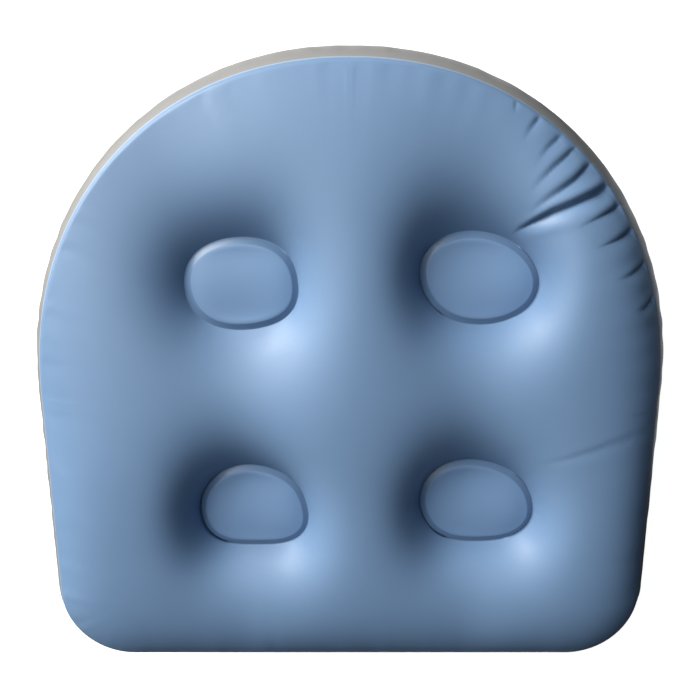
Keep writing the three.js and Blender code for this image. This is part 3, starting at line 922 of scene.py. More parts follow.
@dataclass(frozen=True)
class SideWall:
    """The grey band between the two films, with the weld ring and the hole of the valve.

    Attributes:
        arc: its section.
        quarters: how many points it has in each quarter of the outline.
        valve_spot: where, in the two lower quarters, they lie closer together: (half width, how much closer).
        row_count: how many rows it has from seam to seam.
        row_spot: where the rows lie closer together.
        hole_radius: the valve's hole.
        weld_middle: the radius of the ring where the valve's flange is welded on.
        weld_half_width: half that ring's width.
        weld_depth: how deep it is pressed in.
        weld_power: how its section is rounded.
        pucker_depth: how deep the wall's puckers are.
        pucker_waves: the most and the fewest of them once round, near the seams.
        drift_waves: the same, along the middle.
        drift_share: how deep those along the middle are, against the others.
        pucker_end: between which places on the arc they run out, toward the seams.
        pucker_middle: between which places on the arc the one kind goes over into the other.
        calm: between which distances from the valve's middle they start.
        seed: which lines they follow.
    """

    arc: WallArc = WallArc()
    quarters: tuple[int, int, int, int] = (110, 110, 120, 120)
    valve_spot: tuple[float, float] = (0.09, 2.5)
    row_count: int = 46
    row_spot: tuple[float, float, float] = (0.5, 0.3, 1.0)
    hole_radius: float = 11.0
    weld_middle: float = 13.9
    weld_half_width: float = 2.5
    weld_depth: float = 0.3
    weld_power: float = 1.5
    pucker_depth: float = 0.3
    pucker_waves: tuple[int, int] = (110, 24)
    drift_waves: tuple[int, int] = (60, 10)
    drift_share: float = 0.4
    pucker_end: tuple[float, float] = (25.0, 34.0)
    pucker_middle: tuple[float, float] = (3.0, 24.0)
    calm: tuple[float, float] = (16.0, 40.0)
    seed: int = 21

    def shell(self, outline: Outline) -> tuple[np.ndarray, list[tuple[int, ...]]]:
        """The closed band, without its hole.

        Args:
            outline: the pillow's outline.

        Returns:
            The points about the middle plane, and the faces.
        """
        spots = ((), (), ((1.0, *self.valve_spot),), ((0.0, *self.valve_spot),))
        rim = outline.loop([spaced(count, near) for count, near in zip(self.quarters, spots)])
        shares = np.append(spaced(self.row_count, [self.row_spot]), 1.0)
        degrees = self.arc.half_degrees * (2 * shares - 1)
        wander = slow_waves(self.seed, rim.turns, *self.pucker_waves)
        drift = slow_waves(self.seed + 1, rim.turns, *self.drift_waves)
        outer, inner = [], []
        for degree in degrees:
            tall = math.radians(degree) * self.arc.radius
            clear = 1 - smooth_step(*self.pucker_end, abs(degree))
            near = smooth_step(*self.pucker_middle, abs(degree))
            lift = self.pucker_depth * clear * (near * wander + (1 - near) * self.drift_share * drift)
            ring = np.hypot(rim.points[:, 0], tall)
            bottom = rim.points[:, 1] < 0
            lift = np.where(bottom, lift * smooth_step(*self.calm, ring), lift)
            section = 1 - ((ring - self.weld_middle) / self.weld_half_width) ** 2
            groove = np.clip(section, 0.0, None) ** self.weld_power
            lift = lift - np.where(bottom, self.weld_depth * groove, 0.0)
            outer.append(rim.at(*self.arc.at(degree, lift)))
            inner.append(rim.at(*self.arc.at(degree, lift - self.arc.film)))
        rows = outer + inner[::-1]
        points = np.concatenate(rows)
        count = len(rim.points)
        around = np.arange(count)
        ahead = np.roll(around, -1)
        faces = []
        for k in range(len(rows)):
            low, high = k * count, (k + 1) % len(rows) * count
            faces += [(low + a, low + b, high + b, high + a) for a, b in zip(around.tolist(), ahead.tolist())]
        return points, faces


# ---- making meshes ----


class Workshop:
    """The steps by which the pieces' meshes are made."""

    def __init__(self, middle: float) -> None:
        """Keeps the middle plane's height."""
        self.middle = middle

    def from_points(self, name: str, points: np.ndarray, faces: Sequence[tuple[int, ...]],
                    marks: dict[str, np.ndarray] | None = None) -> bpy.types.Object:
        """A smooth piece from points about the middle plane.

        Args:
            name: the piece's name.
            points: its points in millimetres.
            faces: its faces.
            marks: values for each point that its finish reads.

        Returns:
            The piece.
        """
        mesh = bpy.data.meshes.new(name)
        mesh.from_pydata(((points + [0.0, 0.0, self.middle]) * MM).tolist(), [], list(faces))
        for mark, values in (marks or {}).items():
            layer = mesh.attributes.new(mark, "FLOAT", "POINT")
            layer.data.foreach_set("value", values.astype(np.float32))
        mesh.shade_smooth()
        piece = bpy.data.objects.new(name, mesh)
        bpy.context.scene.collection.objects.link(piece)
        return piece

    @staticmethod
    def rounded(corners: Sequence[tuple[float, float, float]], steps: int = 4) -> list[tuple[float, float]]:
        """A closed profile with its corners rounded.

        Args:
            corners: each corner's radius from the axis, its height, and how much it is rounded.
            steps: how many steps a round has.

        Returns:
            The profile's points.
        """
        line = []
        for k, (radius, height, round_) in enumerate(corners):
            here = np.array([radius, height])
            if not round_:
                line.append(tuple(here))
                continue
            before = np.array(corners[k - 1][:2]) - here
            after = np.array(corners[(k + 1) % len(corners)][:2]) - here
            a, b = unit(before[None])[0], unit(after[None])[0]
            reach = min(round_, MOST_ROUND * np.linalg.norm(before), MOST_ROUND * np.linalg.norm(after))
            for share in np.linspace(0.0, 1.0, steps + 1):
                line.append(tuple(here + reach * ((1 - share) ** 2 * a + share**2 * b)))
        return line

    def turned(self, name: str, corners: Sequence[tuple[float, float, float]], steps: int = 96,
               round_steps: int = 4) -> bpy.types.Object:
        """A solid turned about Z by spinning a profile.

        Args:
            name: the piece's name.
            corners: the profile's corners, each with its round.
            steps: how many steps once round.
            round_steps: how many steps a round has.

        Returns:
            The piece, about the origin.
        """
        line = self.rounded(corners, round_steps)
        bpy.ops.object.select_all(action="DESELECT")
        bpy.ops.mesh.primitive_circle_add(vertices=len(line), radius=MM)
        piece = bpy.context.object
        piece.name = piece.data.name = name
        for vertex, (radius, height) in zip(piece.data.vertices, line):
            vertex.co = (radius * MM, 0.0, height * MM)
        bpy.ops.object.mode_set(mode="EDIT")
        bpy.ops.mesh.select_all(action="SELECT")
        bpy.ops.mesh.spin(steps=steps, angle=2 * math.pi, center=(0, 0, 0), axis=(0, 0, 1))
        bpy.ops.mesh.select_all(action="SELECT")
        bpy.ops.mesh.remove_doubles(threshold=MERGE_GAP)
        bpy.ops.mesh.delete_loose(use_verts=True, use_edges=True, use_faces=False)
        bpy.ops.mesh.select_all(action="SELECT")
        bpy.ops.mesh.normals_make_consistent(inside=False)
        bpy.ops.object.mode_set(mode="OBJECT")
        self.smooth(piece)
        return piece

    @staticmethod
    def smooth(piece: bpy.types.Object, degrees: float = 40.0) -> None:
        """Shades a piece smooth, but for its sharp edges.

        Args:
            piece: the piece.
            degrees: from which angle on an edge stays sharp.
        """
        bpy.ops.object.select_all(action="DESELECT")
        piece.select_set(True)
        bpy.context.view_layer.objects.active = piece
        bpy.ops.object.shade_smooth_by_angle(angle=math.radians(degrees))

    @staticmethod
    def place(piece: bpy.types.Object, matrix: Matrix) -> bpy.types.Object:
        """Moves a piece's mesh, and leaves its object at the origin.

        Args:
            piece: the piece.
            matrix: the move.

        Returns:
            The same piece.
        """
        piece.data.transform(matrix)
        piece.data.update()
        return piece

    @staticmethod
    def copied(piece: bpy.types.Object, name: str) -> bpy.types.Object:
        """A copy with its own mesh.

        Args:
            piece: what is copied.
            name: the copy's name.

        Returns:
            The copy.
        """
        twin = piece.copy()
        twin.data = piece.data.copy()
        twin.name = twin.data.name = name
        bpy.context.scene.collection.objects.link(twin)
        return twin

    @staticmethod
    def apply(piece: bpy.types.Object, kind: str, **settings: object) -> None:
        """Adds a modifier with the given settings and applies it.

        Args:
            piece: the piece.
            kind: the modifier's type.
            settings: its settings.
        """
        bpy.ops.object.select_all(action="DESELECT")
        piece.select_set(True)
        bpy.context.view_layer.objects.active = piece
        modifier = piece.modifiers.new(kind.title(), kind)
        for key, value in settings.items():
            setattr(modifier, key, value)
        bpy.ops.object.modifier_apply(modifier=modifier.name)

    def bored(self, piece: bpy.types.Object, radius: float, centre: Vector, depth: float, steps: int = 96) -> None:
        """Cuts a round hole along Y.

        Args:
            piece: what the hole goes through.
            radius: the hole's radius in millimetres.
            centre: the cutter's middle, in metres.
            depth: the cutter's length in millimetres.
            steps: how many steps once round.
        """
        bpy.ops.object.select_all(action="DESELECT")
        bpy.ops.mesh.primitive_cylinder_add(vertices=steps, radius=radius * MM, depth=depth * MM, location=centre,
                                            rotation=(math.pi / 2, 0.0, 0.0))
        cutter = bpy.context.object
        self.apply(piece, "BOOLEAN", object=cutter, operation="DIFFERENCE", solver="EXACT")
        mesh = cutter.data
        bpy.data.objects.remove(cutter)
        bpy.data.meshes.remove(mesh)

    def lofted(self, name: str, rows: Sequence[np.ndarray]) -> bpy.types.Object:
        """An open tube through closed rows of points, each extruded from the one before.

        Args:
            name: the piece's name.
            rows: the rows, all with as many points, in millimetres about the middle plane.

        Returns:
            The piece.
        """
        bpy.ops.object.select_all(action="DESELECT")
        bpy.ops.mesh.primitive_circle_add(vertices=len(rows[0]), radius=MM)
        piece = bpy.context.object
        piece.name = piece.data.name = name
        bpy.ops.object.mode_set(mode="EDIT")
        bpy.ops.mesh.select_all(action="SELECT")
        for k, row in enumerate(rows):
            if k:
                bpy.ops.mesh.extrude_edges_move()
            form = bmesh.from_edit_mesh(piece.data)
            form.verts.ensure_lookup_table()
            held = [v for v in form.verts if v.select]
            for vertex, spot in zip(held, row):
                vertex.co = (Vector(spot.tolist()) + Vector((0.0, 0.0, self.middle))) * MM
            bmesh.update_edit_mesh(piece.data)
        bpy.ops.mesh.select_all(action="SELECT")
        bpy.ops.mesh.normals_make_consistent(inside=False)
        bpy.ops.object.mode_set(mode="OBJECT")
        return piece


# ---- finishes ----


class Nodes:
    """A material's nodes, added one after another."""

    def __init__(self, name: str) -> None:
        """Starts a material with a principled surface.

        Args:
            name: the material's name.
        """
        self.material = bpy.data.materials.new(name)
        self.material.use_nodes = True
        self.tree = self.material.node_tree
        self.tree.nodes.clear()
        self.surface = self.add("BsdfPrincipled")
        self.add("OutputMaterial", {"Surface": self.surface.outputs[0]})
        self.place = self.add("TexCoord").outputs["Object"]

    def add(self, kind: str, inputs: dict[str | int, object] | None = None, **settings: object) -> bpy.types.Node:
        """Adds a node.

        Args:
            kind: what follows ShaderNode in its type.
            inputs: what its inputs are set or linked to.
            settings: its own settings.

        Returns:
            The node.
        """
        node = self.tree.nodes.new("ShaderNode" + kind)
        for key, value in settings.items():
            setattr(node, key, value)
        self.feed(node, inputs or {})
        return node

    def feed(self, node: bpy.types.Node, inputs: dict[str | int, object]) -> None:
        """Sets or links a node's inputs.

        Args:
            node: the node.
            inputs: a value or a socket for each input.
        """
        for key, value in inputs.items():
            if isinstance(value, bpy.types.NodeSocket):
                self.tree.links.new(value, node.inputs[key])
            else:
                node.inputs[key].default_value = value

    def noise(self, scale: float, detail: float = 2.0, roughness: float = 0.5) -> bpy.types.NodeSocket:
        """Noise over the piece, its scale in waves a metre."""
        return self.add("TexNoise", {"Vector": self.place, "Scale": scale, "Detail": detail,
                                     "Roughness": roughness}).outputs[0]

    def spread(self, value: bpy.types.NodeSocket, low: float, high: float,
               start: float = 0.3, end: float = 0.7) -> bpy.types.NodeSocket:
        """A value's range from start to end, spread from low to high."""
        return self.add("MapRange", {"Value": value, "From Min": start, "From Max": end,
                                     "To Min": low, "To Max": high}).outputs[0]

    def mark(self, name: str) -> bpy.types.NodeSocket:
        """A mark on the mesh's points."""
        return self.add("Attribute", attribute_name=name).outputs["Fac"]

    def mix(self, share: bpy.types.NodeSocket | float, first: object, second: object) -> bpy.types.NodeSocket:
        """Two colours mixed.

        Args:
            share: how much of the second.
            first: the first colour.
            second: the second colour.

        Returns:
            The mixed colour.
        """
        node = self.add("Mix", data_type="RGBA")
        self.feed(node, {0: share, 6: first, 7: second})
        return node.outputs[2]

    def between(self, share: bpy.types.NodeSocket, first: object, second: object) -> bpy.types.NodeSocket:
        """Two numbers mixed.

        Args:
            share: how much of the second.
            first: the first number.
            second: the second number.

        Returns:
            The mixed number.
        """
        node = self.add("Mix", data_type="FLOAT")
        self.feed(node, {0: share, 2: first, 3: second})
        return node.outputs[0]

    def bump(self, layers: Sequence[tuple[bpy.types.NodeSocket, float, float]]) -> None:
        """Puts bumps on the surface.

        Args:
            layers: each with its height, its strength and its depth in millimetres.
        """
        below = None
        for height, strength, depth in layers:
            node = self.add("Bump", {"Height": height, "Strength": strength, "Distance": depth * MM})
            if below:
                self.feed(node, {"Normal": below})
            below = node.outputs[0]
        self.feed(self.surface, {"Normal": below})


def paint(colour: Sequence[float], share: float = 1.0) -> tuple[float, float, float, float]:
    """A colour with its alpha, made darker or lighter by a share."""
    return (colour[0] * share, colour[1] * share, colour[2] * share, 1.0)


@dataclass(frozen=True)
class FilmFinish:
    """Soft vinyl film: an even colour with faint clouds, a fine grain, and a gloss that varies a little;
    where the mesh is marked, painted light on the domes inside the ovals and a painted highlight along the hem.

    Attributes:
        name: the material's name.
        colour: the film's colour.
        roughness: how dull it is.
        gloss_spread: how much less and more than that it is, in streaks.
        specular: how strongly it mirrors light.
        ior: its index of refraction.
        clouds: how much darker and lighter its colour is in broad clouds.
        cloud_scale, streak_scale, peel_scale, grain_scale: waves a metre of the four patterns.
        peel, grain: the depths of the two fine reliefs, in millimetres.
        relief: how strongly both show.
        grain_mix, grain_share: how much of a lighter colour the grain has, and how much lighter that is.
        weld_share: the colour on the weld bands, against the film's.
        weld_gloss: how much less dull the weld bands are.
        pad_share: how much lighter the domes inside the ovals are painted, against the film's colour: painted light.
        hem_colour: the lighter colour painted along the hem's edge: a painted highlight.
        marked: whether the mesh has marks for the welds, for the painted light on the domes and for the painted
            highlight along the hem.
    """

    name: str
    colour: tuple[float, float, float]
    roughness: float = 0.52
    gloss_spread: tuple[float, float] = (0.05, 0.06)
    specular: float = 0.5
    ior: float = 1.53
    clouds: float = 0.04
    cloud_scale: float = 9.0
    streak_scale: float = 60.0
    peel_scale: float = 330.0
    grain_scale: float = 1400.0
    peel: float = 0.02
    grain: float = 0.012
    relief: float = 0.5
    grain_mix: float = 0.05
    grain_share: float = 1.6
    weld_share: float = 0.88
    weld_gloss: float = 0.15
    pad_share: float = 1.2
    hem_colour: tuple[float, float, float] = (0.36, 0.41, 0.48)
    marked: bool = False

    def material(self) -> bpy.types.Material:
        """The finish as a material.

        Returns:
            The material.
        """
        nodes = Nodes(self.name)
        broad = nodes.noise(self.cloud_scale, 3.0)
        fine = nodes.noise(self.grain_scale)
        streak = nodes.noise(self.streak_scale, 4.0, 0.6)
        colour = nodes.mix(nodes.spread(broad, 0.0, 1.0), paint(self.colour, 1 - self.clouds),
                           paint(self.colour, 1 + self.clouds))
        colour = nodes.mix(nodes.spread(fine, 0.0, self.grain_mix), colour, paint(self.colour, self.grain_share))
        less, more = self.gloss_spread
        rough = nodes.spread(streak, self.roughness - less, self.roughness + more)
        if self.marked:
            weld, hem = nodes.mark("weld"), nodes.mark("hem")
            # painted light: the domes inside the ovals are painted lighter than the film
            colour = nodes.mix(nodes.mark("pad"), colour, paint(self.colour, self.pad_share))
            colour = nodes.mix(weld, colour, paint(self.colour, self.weld_share))
            # painted highlight: a lighter colour along the lap's edge
            colour = nodes.mix(hem, colour, paint(self.hem_colour))
            rough = nodes.between(weld, rough, self.roughness - self.weld_gloss)
        nodes.feed(nodes.surface, {
            "Base Color": colour, "Roughness": rough, "Specular IOR Level": self.specular, "IOR": self.ior,
        })
        nodes.bump([(nodes.noise(self.peel_scale), self.relief, self.peel), (fine, self.relief, self.grain)])
        return nodes.material


@dataclass(frozen=True)
class ClearFinish:
    """Clear moulded vinyl with a faint tint and a soft skin.

    Attributes:
        name: the material's name.
        colour: its tint.
        roughness: how dull it is at its glossiest.
        gloss_spread: how much duller than that it is elsewhere.
        transmission: how much light it lets through.
        ior: its index of refraction.
        cloud_share: its darkest tint, against its colour.
        cloud_scale, grain_scale: waves a metre of the two patterns.
        ripple, grain: the depths of the two reliefs, in millimetres.
        relief: how strongly both show.
    """

    name: str
    colour: tuple[float, float, float]
    roughness: float = 0.12
    gloss_spread: float = 0.12
    transmission: float = 0.8
    ior: float = 1.5
    cloud_share: float = 0.92
    cloud_scale: float = 90.0
    grain_scale: float = 900.0
    ripple: float = 0.05
    grain: float = 0.01
    relief: float = 0.4

    def material(self) -> bpy.types.Material:
        """The finish as a material.

        Returns:
            The material.
        """
        nodes = Nodes(self.name)
        cloud = nodes.noise(self.cloud_scale, 3.0)
        grain = nodes.noise(self.grain_scale)
        darker = paint(self.colour, self.cloud_share)
        nodes.feed(nodes.surface, {
            "Base Color": nodes.mix(nodes.spread(cloud, 0.0, 1.0), darker, paint(self.colour)),
            "Roughness": nodes.spread(grain, self.roughness, self.roughness + self.gloss_spread),
            "IOR": self.ior, "Transmission Weight": self.transmission,
        })
        nodes.bump([(cloud, self.relief, self.ripple), (grain, self.relief, self.grain)])
        return nodes.material


# ---- the pillow's pieces ----


def dress(piece: bpy.types.Object, material: bpy.types.Material, slot: str, body: str | None,
          *nodes: str) -> bpy.types.Object:
    """Gives a piece its finish and its body, and hides the CAD nodes that it stands for.

    Args:
        piece: the piece.
        material: its finish.
        slot: not used.
        body: what it rides on, or nothing where it bends between two.
        nodes: the CAD nodes that it stands for.

    Returns:
        The piece.
    """
    piece.data.materials.clear()
    piece.data.materials.append(material)
    if nodes:
        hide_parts(*nodes)
    if body:
        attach(piece, body)
    LOG.info("%s: %d faces, for %s", piece.name, len(piece.data.polygons), ", ".join(nodes) or "no node")
    return piece


@dataclass
class Cushion:
    """The air chamber: face film, wall, back film, and the four sleeves that tie face to back."""

    shop: Workshop
    outline: Outline = Outline()
    welds: OvalWelds = field(default_factory=OvalWelds)
    wall: SideWall = SideWall()
    face_form: Inflation = Inflation(
        48.2, 43.7, 2.37, 1.54, (0.00225, -0.00375), -0.0001,
        puffs=(
            (-7.0, 62.0, 0.22), (-67.0, 117.0, 1.34), (19.0, 66.0, 0.77), (139.0, 66.0, 1.5), (79.0, 121.0, -0.2),
            (79.0, 11.0, 0.46), (-122.0, -74.0, 1.0), (-2.0, -74.0, 0.31), (-62.0, -129.0, 0.48),
            (139.0, -70.0, 0.37), (79.0, -15.0, -0.33), (79.0, -125.0, 0.31), (-130.0, 130.0, -1.32),
            (0.0, 150.0, -0.28), (7.0, -5.0, 0.34),
            (-124.0, 66.0, -1.0), (122.0, 126.0, 0.7), (-45.0, 22.0, -0.45), (-20.0, -25.0, 0.5),
        ),
        troughs=(-64.7, 79.1),
    )
    back_form: Inflation = Inflation(48.0, 38.0, 2.4, 1.2)
    face_seed: int = 3
    back_seed: int = 8
    fine_quarter: int = 292
    even_quarter: int = 100
    pleat_spot: tuple[float, float, float] = (0.5, 0.3, 2.0)
    fill: float = 0.9
    bore_depth: float = 6.0
    sleeve_reach: float = 19.65
    sleeve_film: float = 0.5
    sleeve_lips: tuple[float, ...] = (3.0, 1.5, 0.7)
    sleeve_steps: int = 96
    sleeve_rows: int = 11
    sleeve_inset: float = 0.35
    sleeve_share: float = 0.97
    sleeve_waist: float = 0.8
    breather_radius: float = 4.0
    breather_steps: int = 32
    breather_reach: float = 2.4
    blue: tuple[float, float, float] = (0.152, 0.252, 0.418)
    grey: tuple[float, float, float] = (0.26, 0.258, 0.262)
    # painted highlight along the back film's hem
    back_hem: tuple[float, float, float] = (0.55, 0.55, 0.55)
    sleeve_blue: tuple[float, float, float] = (0.2, 0.3, 0.42)
    face_pleats: tuple[Pleat, ...] = (
        Pleat(((91.4, 166.4), (90.0, 158.7)), 1.8, 0.7),
        Pleat(((105.1, 156.9), (98.9, 150.1), (94.0, 144.0)), 2.8, 1.1, 0.2),
        Pleat(((116.9, 146.4), (110.3, 141.3), (101.0, 132.0)), 2.8, 1.2, 0.2),
        Pleat(((124.7, 139.5), (112.6, 130.0), (98.0, 116.0)), 3.0, 1.7, 0.25),
        Pleat(((134.7, 131.6), (124.8, 123.1), (112.0, 114.6), (99.0, 104.5)), 3.6, 2.6, 0.3),
        Pleat(((146.9, 119.7), (131.0, 113.3), (112.9, 105.2), (94.0, 93.4)), 3.6, 5.4, 0.66),
        Pleat(((154.7, 109.4), (142.1, 104.0), (126.0, 97.2)), 3.8, 2.3, 0.2),
        Pleat(((162.6, 95.7), (151.0, 90.6), (137.0, 85.8)), 3.8, 2.2, 0.2),
        Pleat(((171.2, 77.0), (160.9, 71.5), (150.0, 67.0)), 3.4, 1.8, 0.2),
        Pleat(((177.8, 57.0), (171.7, 52.1), (163.0, 48.0)), 3.2, 1.8, 0.2),
        Pleat(((172.0, -26.0), (155.9, -30.4), (127.2, -41.4), (112.0, -48.0)), 3.0, 0.6, 0.5),
    )

    def build(self) -> None:
        """Makes and dresses the chamber's pieces."""
        finish = FilmFinish("face_vinyl", self.blue, marked=True)
        self._film(Side.FACE, "face_film", "top_sheet", finish, self.face_pleats, self.fine_quarter)
        back = FilmFinish("back_vinyl", self.grey, roughness=0.42, hem_colour=self.back_hem, marked=True)
        self.back = self._film(Side.BACK, "back_film", "base_sheet", back, (), self.even_quarter)
        self._wall(FilmFinish("wall_vinyl", self.grey, roughness=0.4).material())
        self._sleeves(FilmFinish("sleeve_vinyl", self.sleeve_blue, roughness=0.45).material())

    def _film(self, side: Side, name: str, node: str, finish: FilmFinish, pleats: Sequence[Pleat],
              fine_quarter: int) -> bpy.types.Object:
        """Makes one large film.

        Args:
            side: face or back.
            name: the piece's name.
            node: the CAD node that it stands for.
            finish: its finish.
            pleats: its folds.
            fine_quarter: how many points its seam has in the upper right quarter.

        Returns:
            The piece.
        """
        near = [self.pleat_spot] if pleats else []
        quarters = [spaced(fine_quarter, near)] + [spaced(self.even_quarter)] * 3
        front = side is Side.FACE
        form, seed = (self.face_form, self.face_seed) if front else (self.back_form, self.back_seed)
        film = InflatedFilm(side, pleats, quarters, self.outline, self.wall.arc, self.welds, form,
                            SeamDetail(seed=seed))
        piece = self.shop.from_points(name, *film.shell())
        return dress(piece, finish.material(), name, "pillow", node)

    def _wall(self, material: bpy.types.Material) -> None:
        """Makes the wall and bores the valve's hole.

        Args:
            material: its finish.
        """
        piece = self.shop.from_points("wall_film", *self.wall.shell(self.outline))
        bottom = Vector((0.0, -self.outline.length / 2, self.shop.middle)) * MM
        self.shop.bored(piece, self.wall.hole_radius, bottom, self.bore_depth)
        dress(piece, material, "wall_film", "pillow", "side_wall")

    def _sleeves(self, material: bpy.types.Material) -> None:
        """Makes the four sleeves, each with two breather holes.

        Args:
            material: their finish.
        """
        turns = 2 * math.pi * np.arange(self.sleeve_steps) / self.sleeve_steps
        reach, film = self.sleeve_reach - self.sleeve_film / 2, self.sleeve_film
        rows = [(inset, -reach) for inset in self.sleeve_lips]
        for share in np.linspace(-self.sleeve_share, self.sleeve_share, self.sleeve_rows):
            rows.append((self.sleeve_inset + self.sleeve_waist * (1 - share**2), share * reach))
        rows += [(inset, reach) for inset in reversed(self.sleeve_lips)]
        for corner in Corner:
            loops = [np.column_stack([self.welds.edge(corner, turns, inset), np.full(len(turns), rise)])
                     for inset, rise in rows]
            piece = self.shop.lofted(f"tie_film_{corner.label}", loops)
            self.shop.apply(piece, "SOLIDIFY", thickness=film * MM, offset=0.0, use_even_offset=True)
            centre = self.welds.centre(corner)
            through = Vector((centre[0], centre[1], self.shop.middle)) * MM
            length = self.breather_reach * self.welds.half_height
            self.shop.bored(piece, self.breather_radius, through, length, self.breather_steps)
            self.shop.smooth(piece)
            dress(piece, material, "tie_film", "pillow", f"tie_tube_{corner.label}")


@dataclass
class SuctionCups:
    """Four clear cups, each held by its mushroom head in the pocket of a patch on the back."""

    shop: Workshop
    places: dict[Corner, tuple[float, float]] = field(default_factory=lambda: {
        Corner.UPPER_RIGHT: (64.0, 138.0), Corner.UPPER_LEFT: (-64.0, 138.0),
        Corner.LOWER_LEFT: (-130.0, -146.0), Corner.LOWER_RIGHT: (130.0, -146.0),
    })
    cup_profile: tuple[tuple[float, float, float], ...] = (
        (0.0, 3.6, 0.0), (7.1, 3.6, 2.0), (14.2, 2.4, 2.5), (21.3, 0.05, 0.3), (23.0, 0.0, 0.25), (23.0, 0.6, 0.3),
        (17.5, 3.3, 2.0), (12.0, 6.2, 2.0), (7.6, 7.9, 0.8), (7.6, 9.7, 0.5), (4.2, 9.7, 0.3), (4.2, 11.3, 0.3),
        (7.0, 11.3, 0.4), (7.0, 12.5, 0.6), (5.8, 13.7, 0.7), (0.0, 13.7, 0.0),
    )
    ray_start: float = -100.0
    floor_under: float = 10.0
    floor: float = 1.0
    film: float = 0.8
    drop: float = 6.0
    tint: tuple[float, float, float] = (0.86, 0.92, 0.95)
    patch_tint: tuple[float, float, float] = (0.8, 0.85, 0.87)
    patch_profile: tuple[tuple[float, float, float], ...] = (
        (4.5, -6.0, 0.3), (8.8, -6.0, 0.9), (8.8, -0.8, 1.2), (10.4, -0.8, 0.2), (10.8, -0.55, 0.2),
        (15.6, -0.55, 0.2), (16.0, -0.8, 0.2), (17.0, -0.75, 0.2), (17.0, -0.05, 0.1), (8.0, -0.05, 0.1),
        (8.0, -5.0, 0.4), (4.5, -5.0, 0.3),
    )

    def build(self, back: bpy.types.Object) -> None:
        """Makes and dresses the cups and patches.

        Args:
            back: the back film, which the patches are welded to.
        """
        clear = ClearFinish("clear_vinyl", self.tint).material()
        welded = ClearFinish("patch_vinyl", self.patch_tint, roughness=0.25, transmission=0.45).material()
        first = self.shop.turned("suction_cup_pattern", self.cup_profile)
        patch = self.shop.turned("patch_pattern", self.patch_profile)
        surface = BVHTree.FromPolygons([v.co for v in back.data.vertices],
                                       [tuple(p.vertices) for p in back.data.polygons])
        for corner, (x, y) in self.places.items():
            cup = self.shop.copied(first, f"cup_{corner.label}")
            self.shop.place(cup, Matrix.Translation(Vector((x, y, 0.0)) * MM))
            dress(cup, clear, "cup_vinyl", f"suction_cup_{corner.label}", f"suction_cup_{corner.label}")
            held = self.shop.copied(patch, f"patch_{corner.label}")
            self.shop.place(held, Matrix.Translation(Vector((x, y, 0.0)) * MM))
            self._hang(held, surface)
            dress(held, welded, "patch_film", "pillow", f"cup_patch_{corner.label}")
        for pattern in (first, patch):
            bpy.data.objects.remove(pattern)

    def _hang(self, piece: bpy.types.Object, surface: BVHTree) -> None:
        """Lays a patch on the back film, its pocket's floor level at the cup's neck.

        Args:
            piece: the patch.
            surface: the back film.
        """
        upwards = Vector((0.0, 0.0, 1.0))
        for vertex in piece.data.vertices:
            flat = vertex.co.z / MM
            hit, *_ = surface.ray_cast(Vector((vertex.co.x, vertex.co.y, self.ray_start * MM)), upwards)
            film = hit.z / MM
            top, low = film - self.film, self.floor_under + self.floor
            if flat >= -self.film:
                made = film + flat
            elif flat >= self.floor - self.drop:
                share = (-self.film - flat) / (self.drop - self.floor - self.film)
                made = top + (low - top) * share
            else:
                made = self.floor_under + flat + self.drop
            vertex.co.z = made * MM
        piece.data.update()


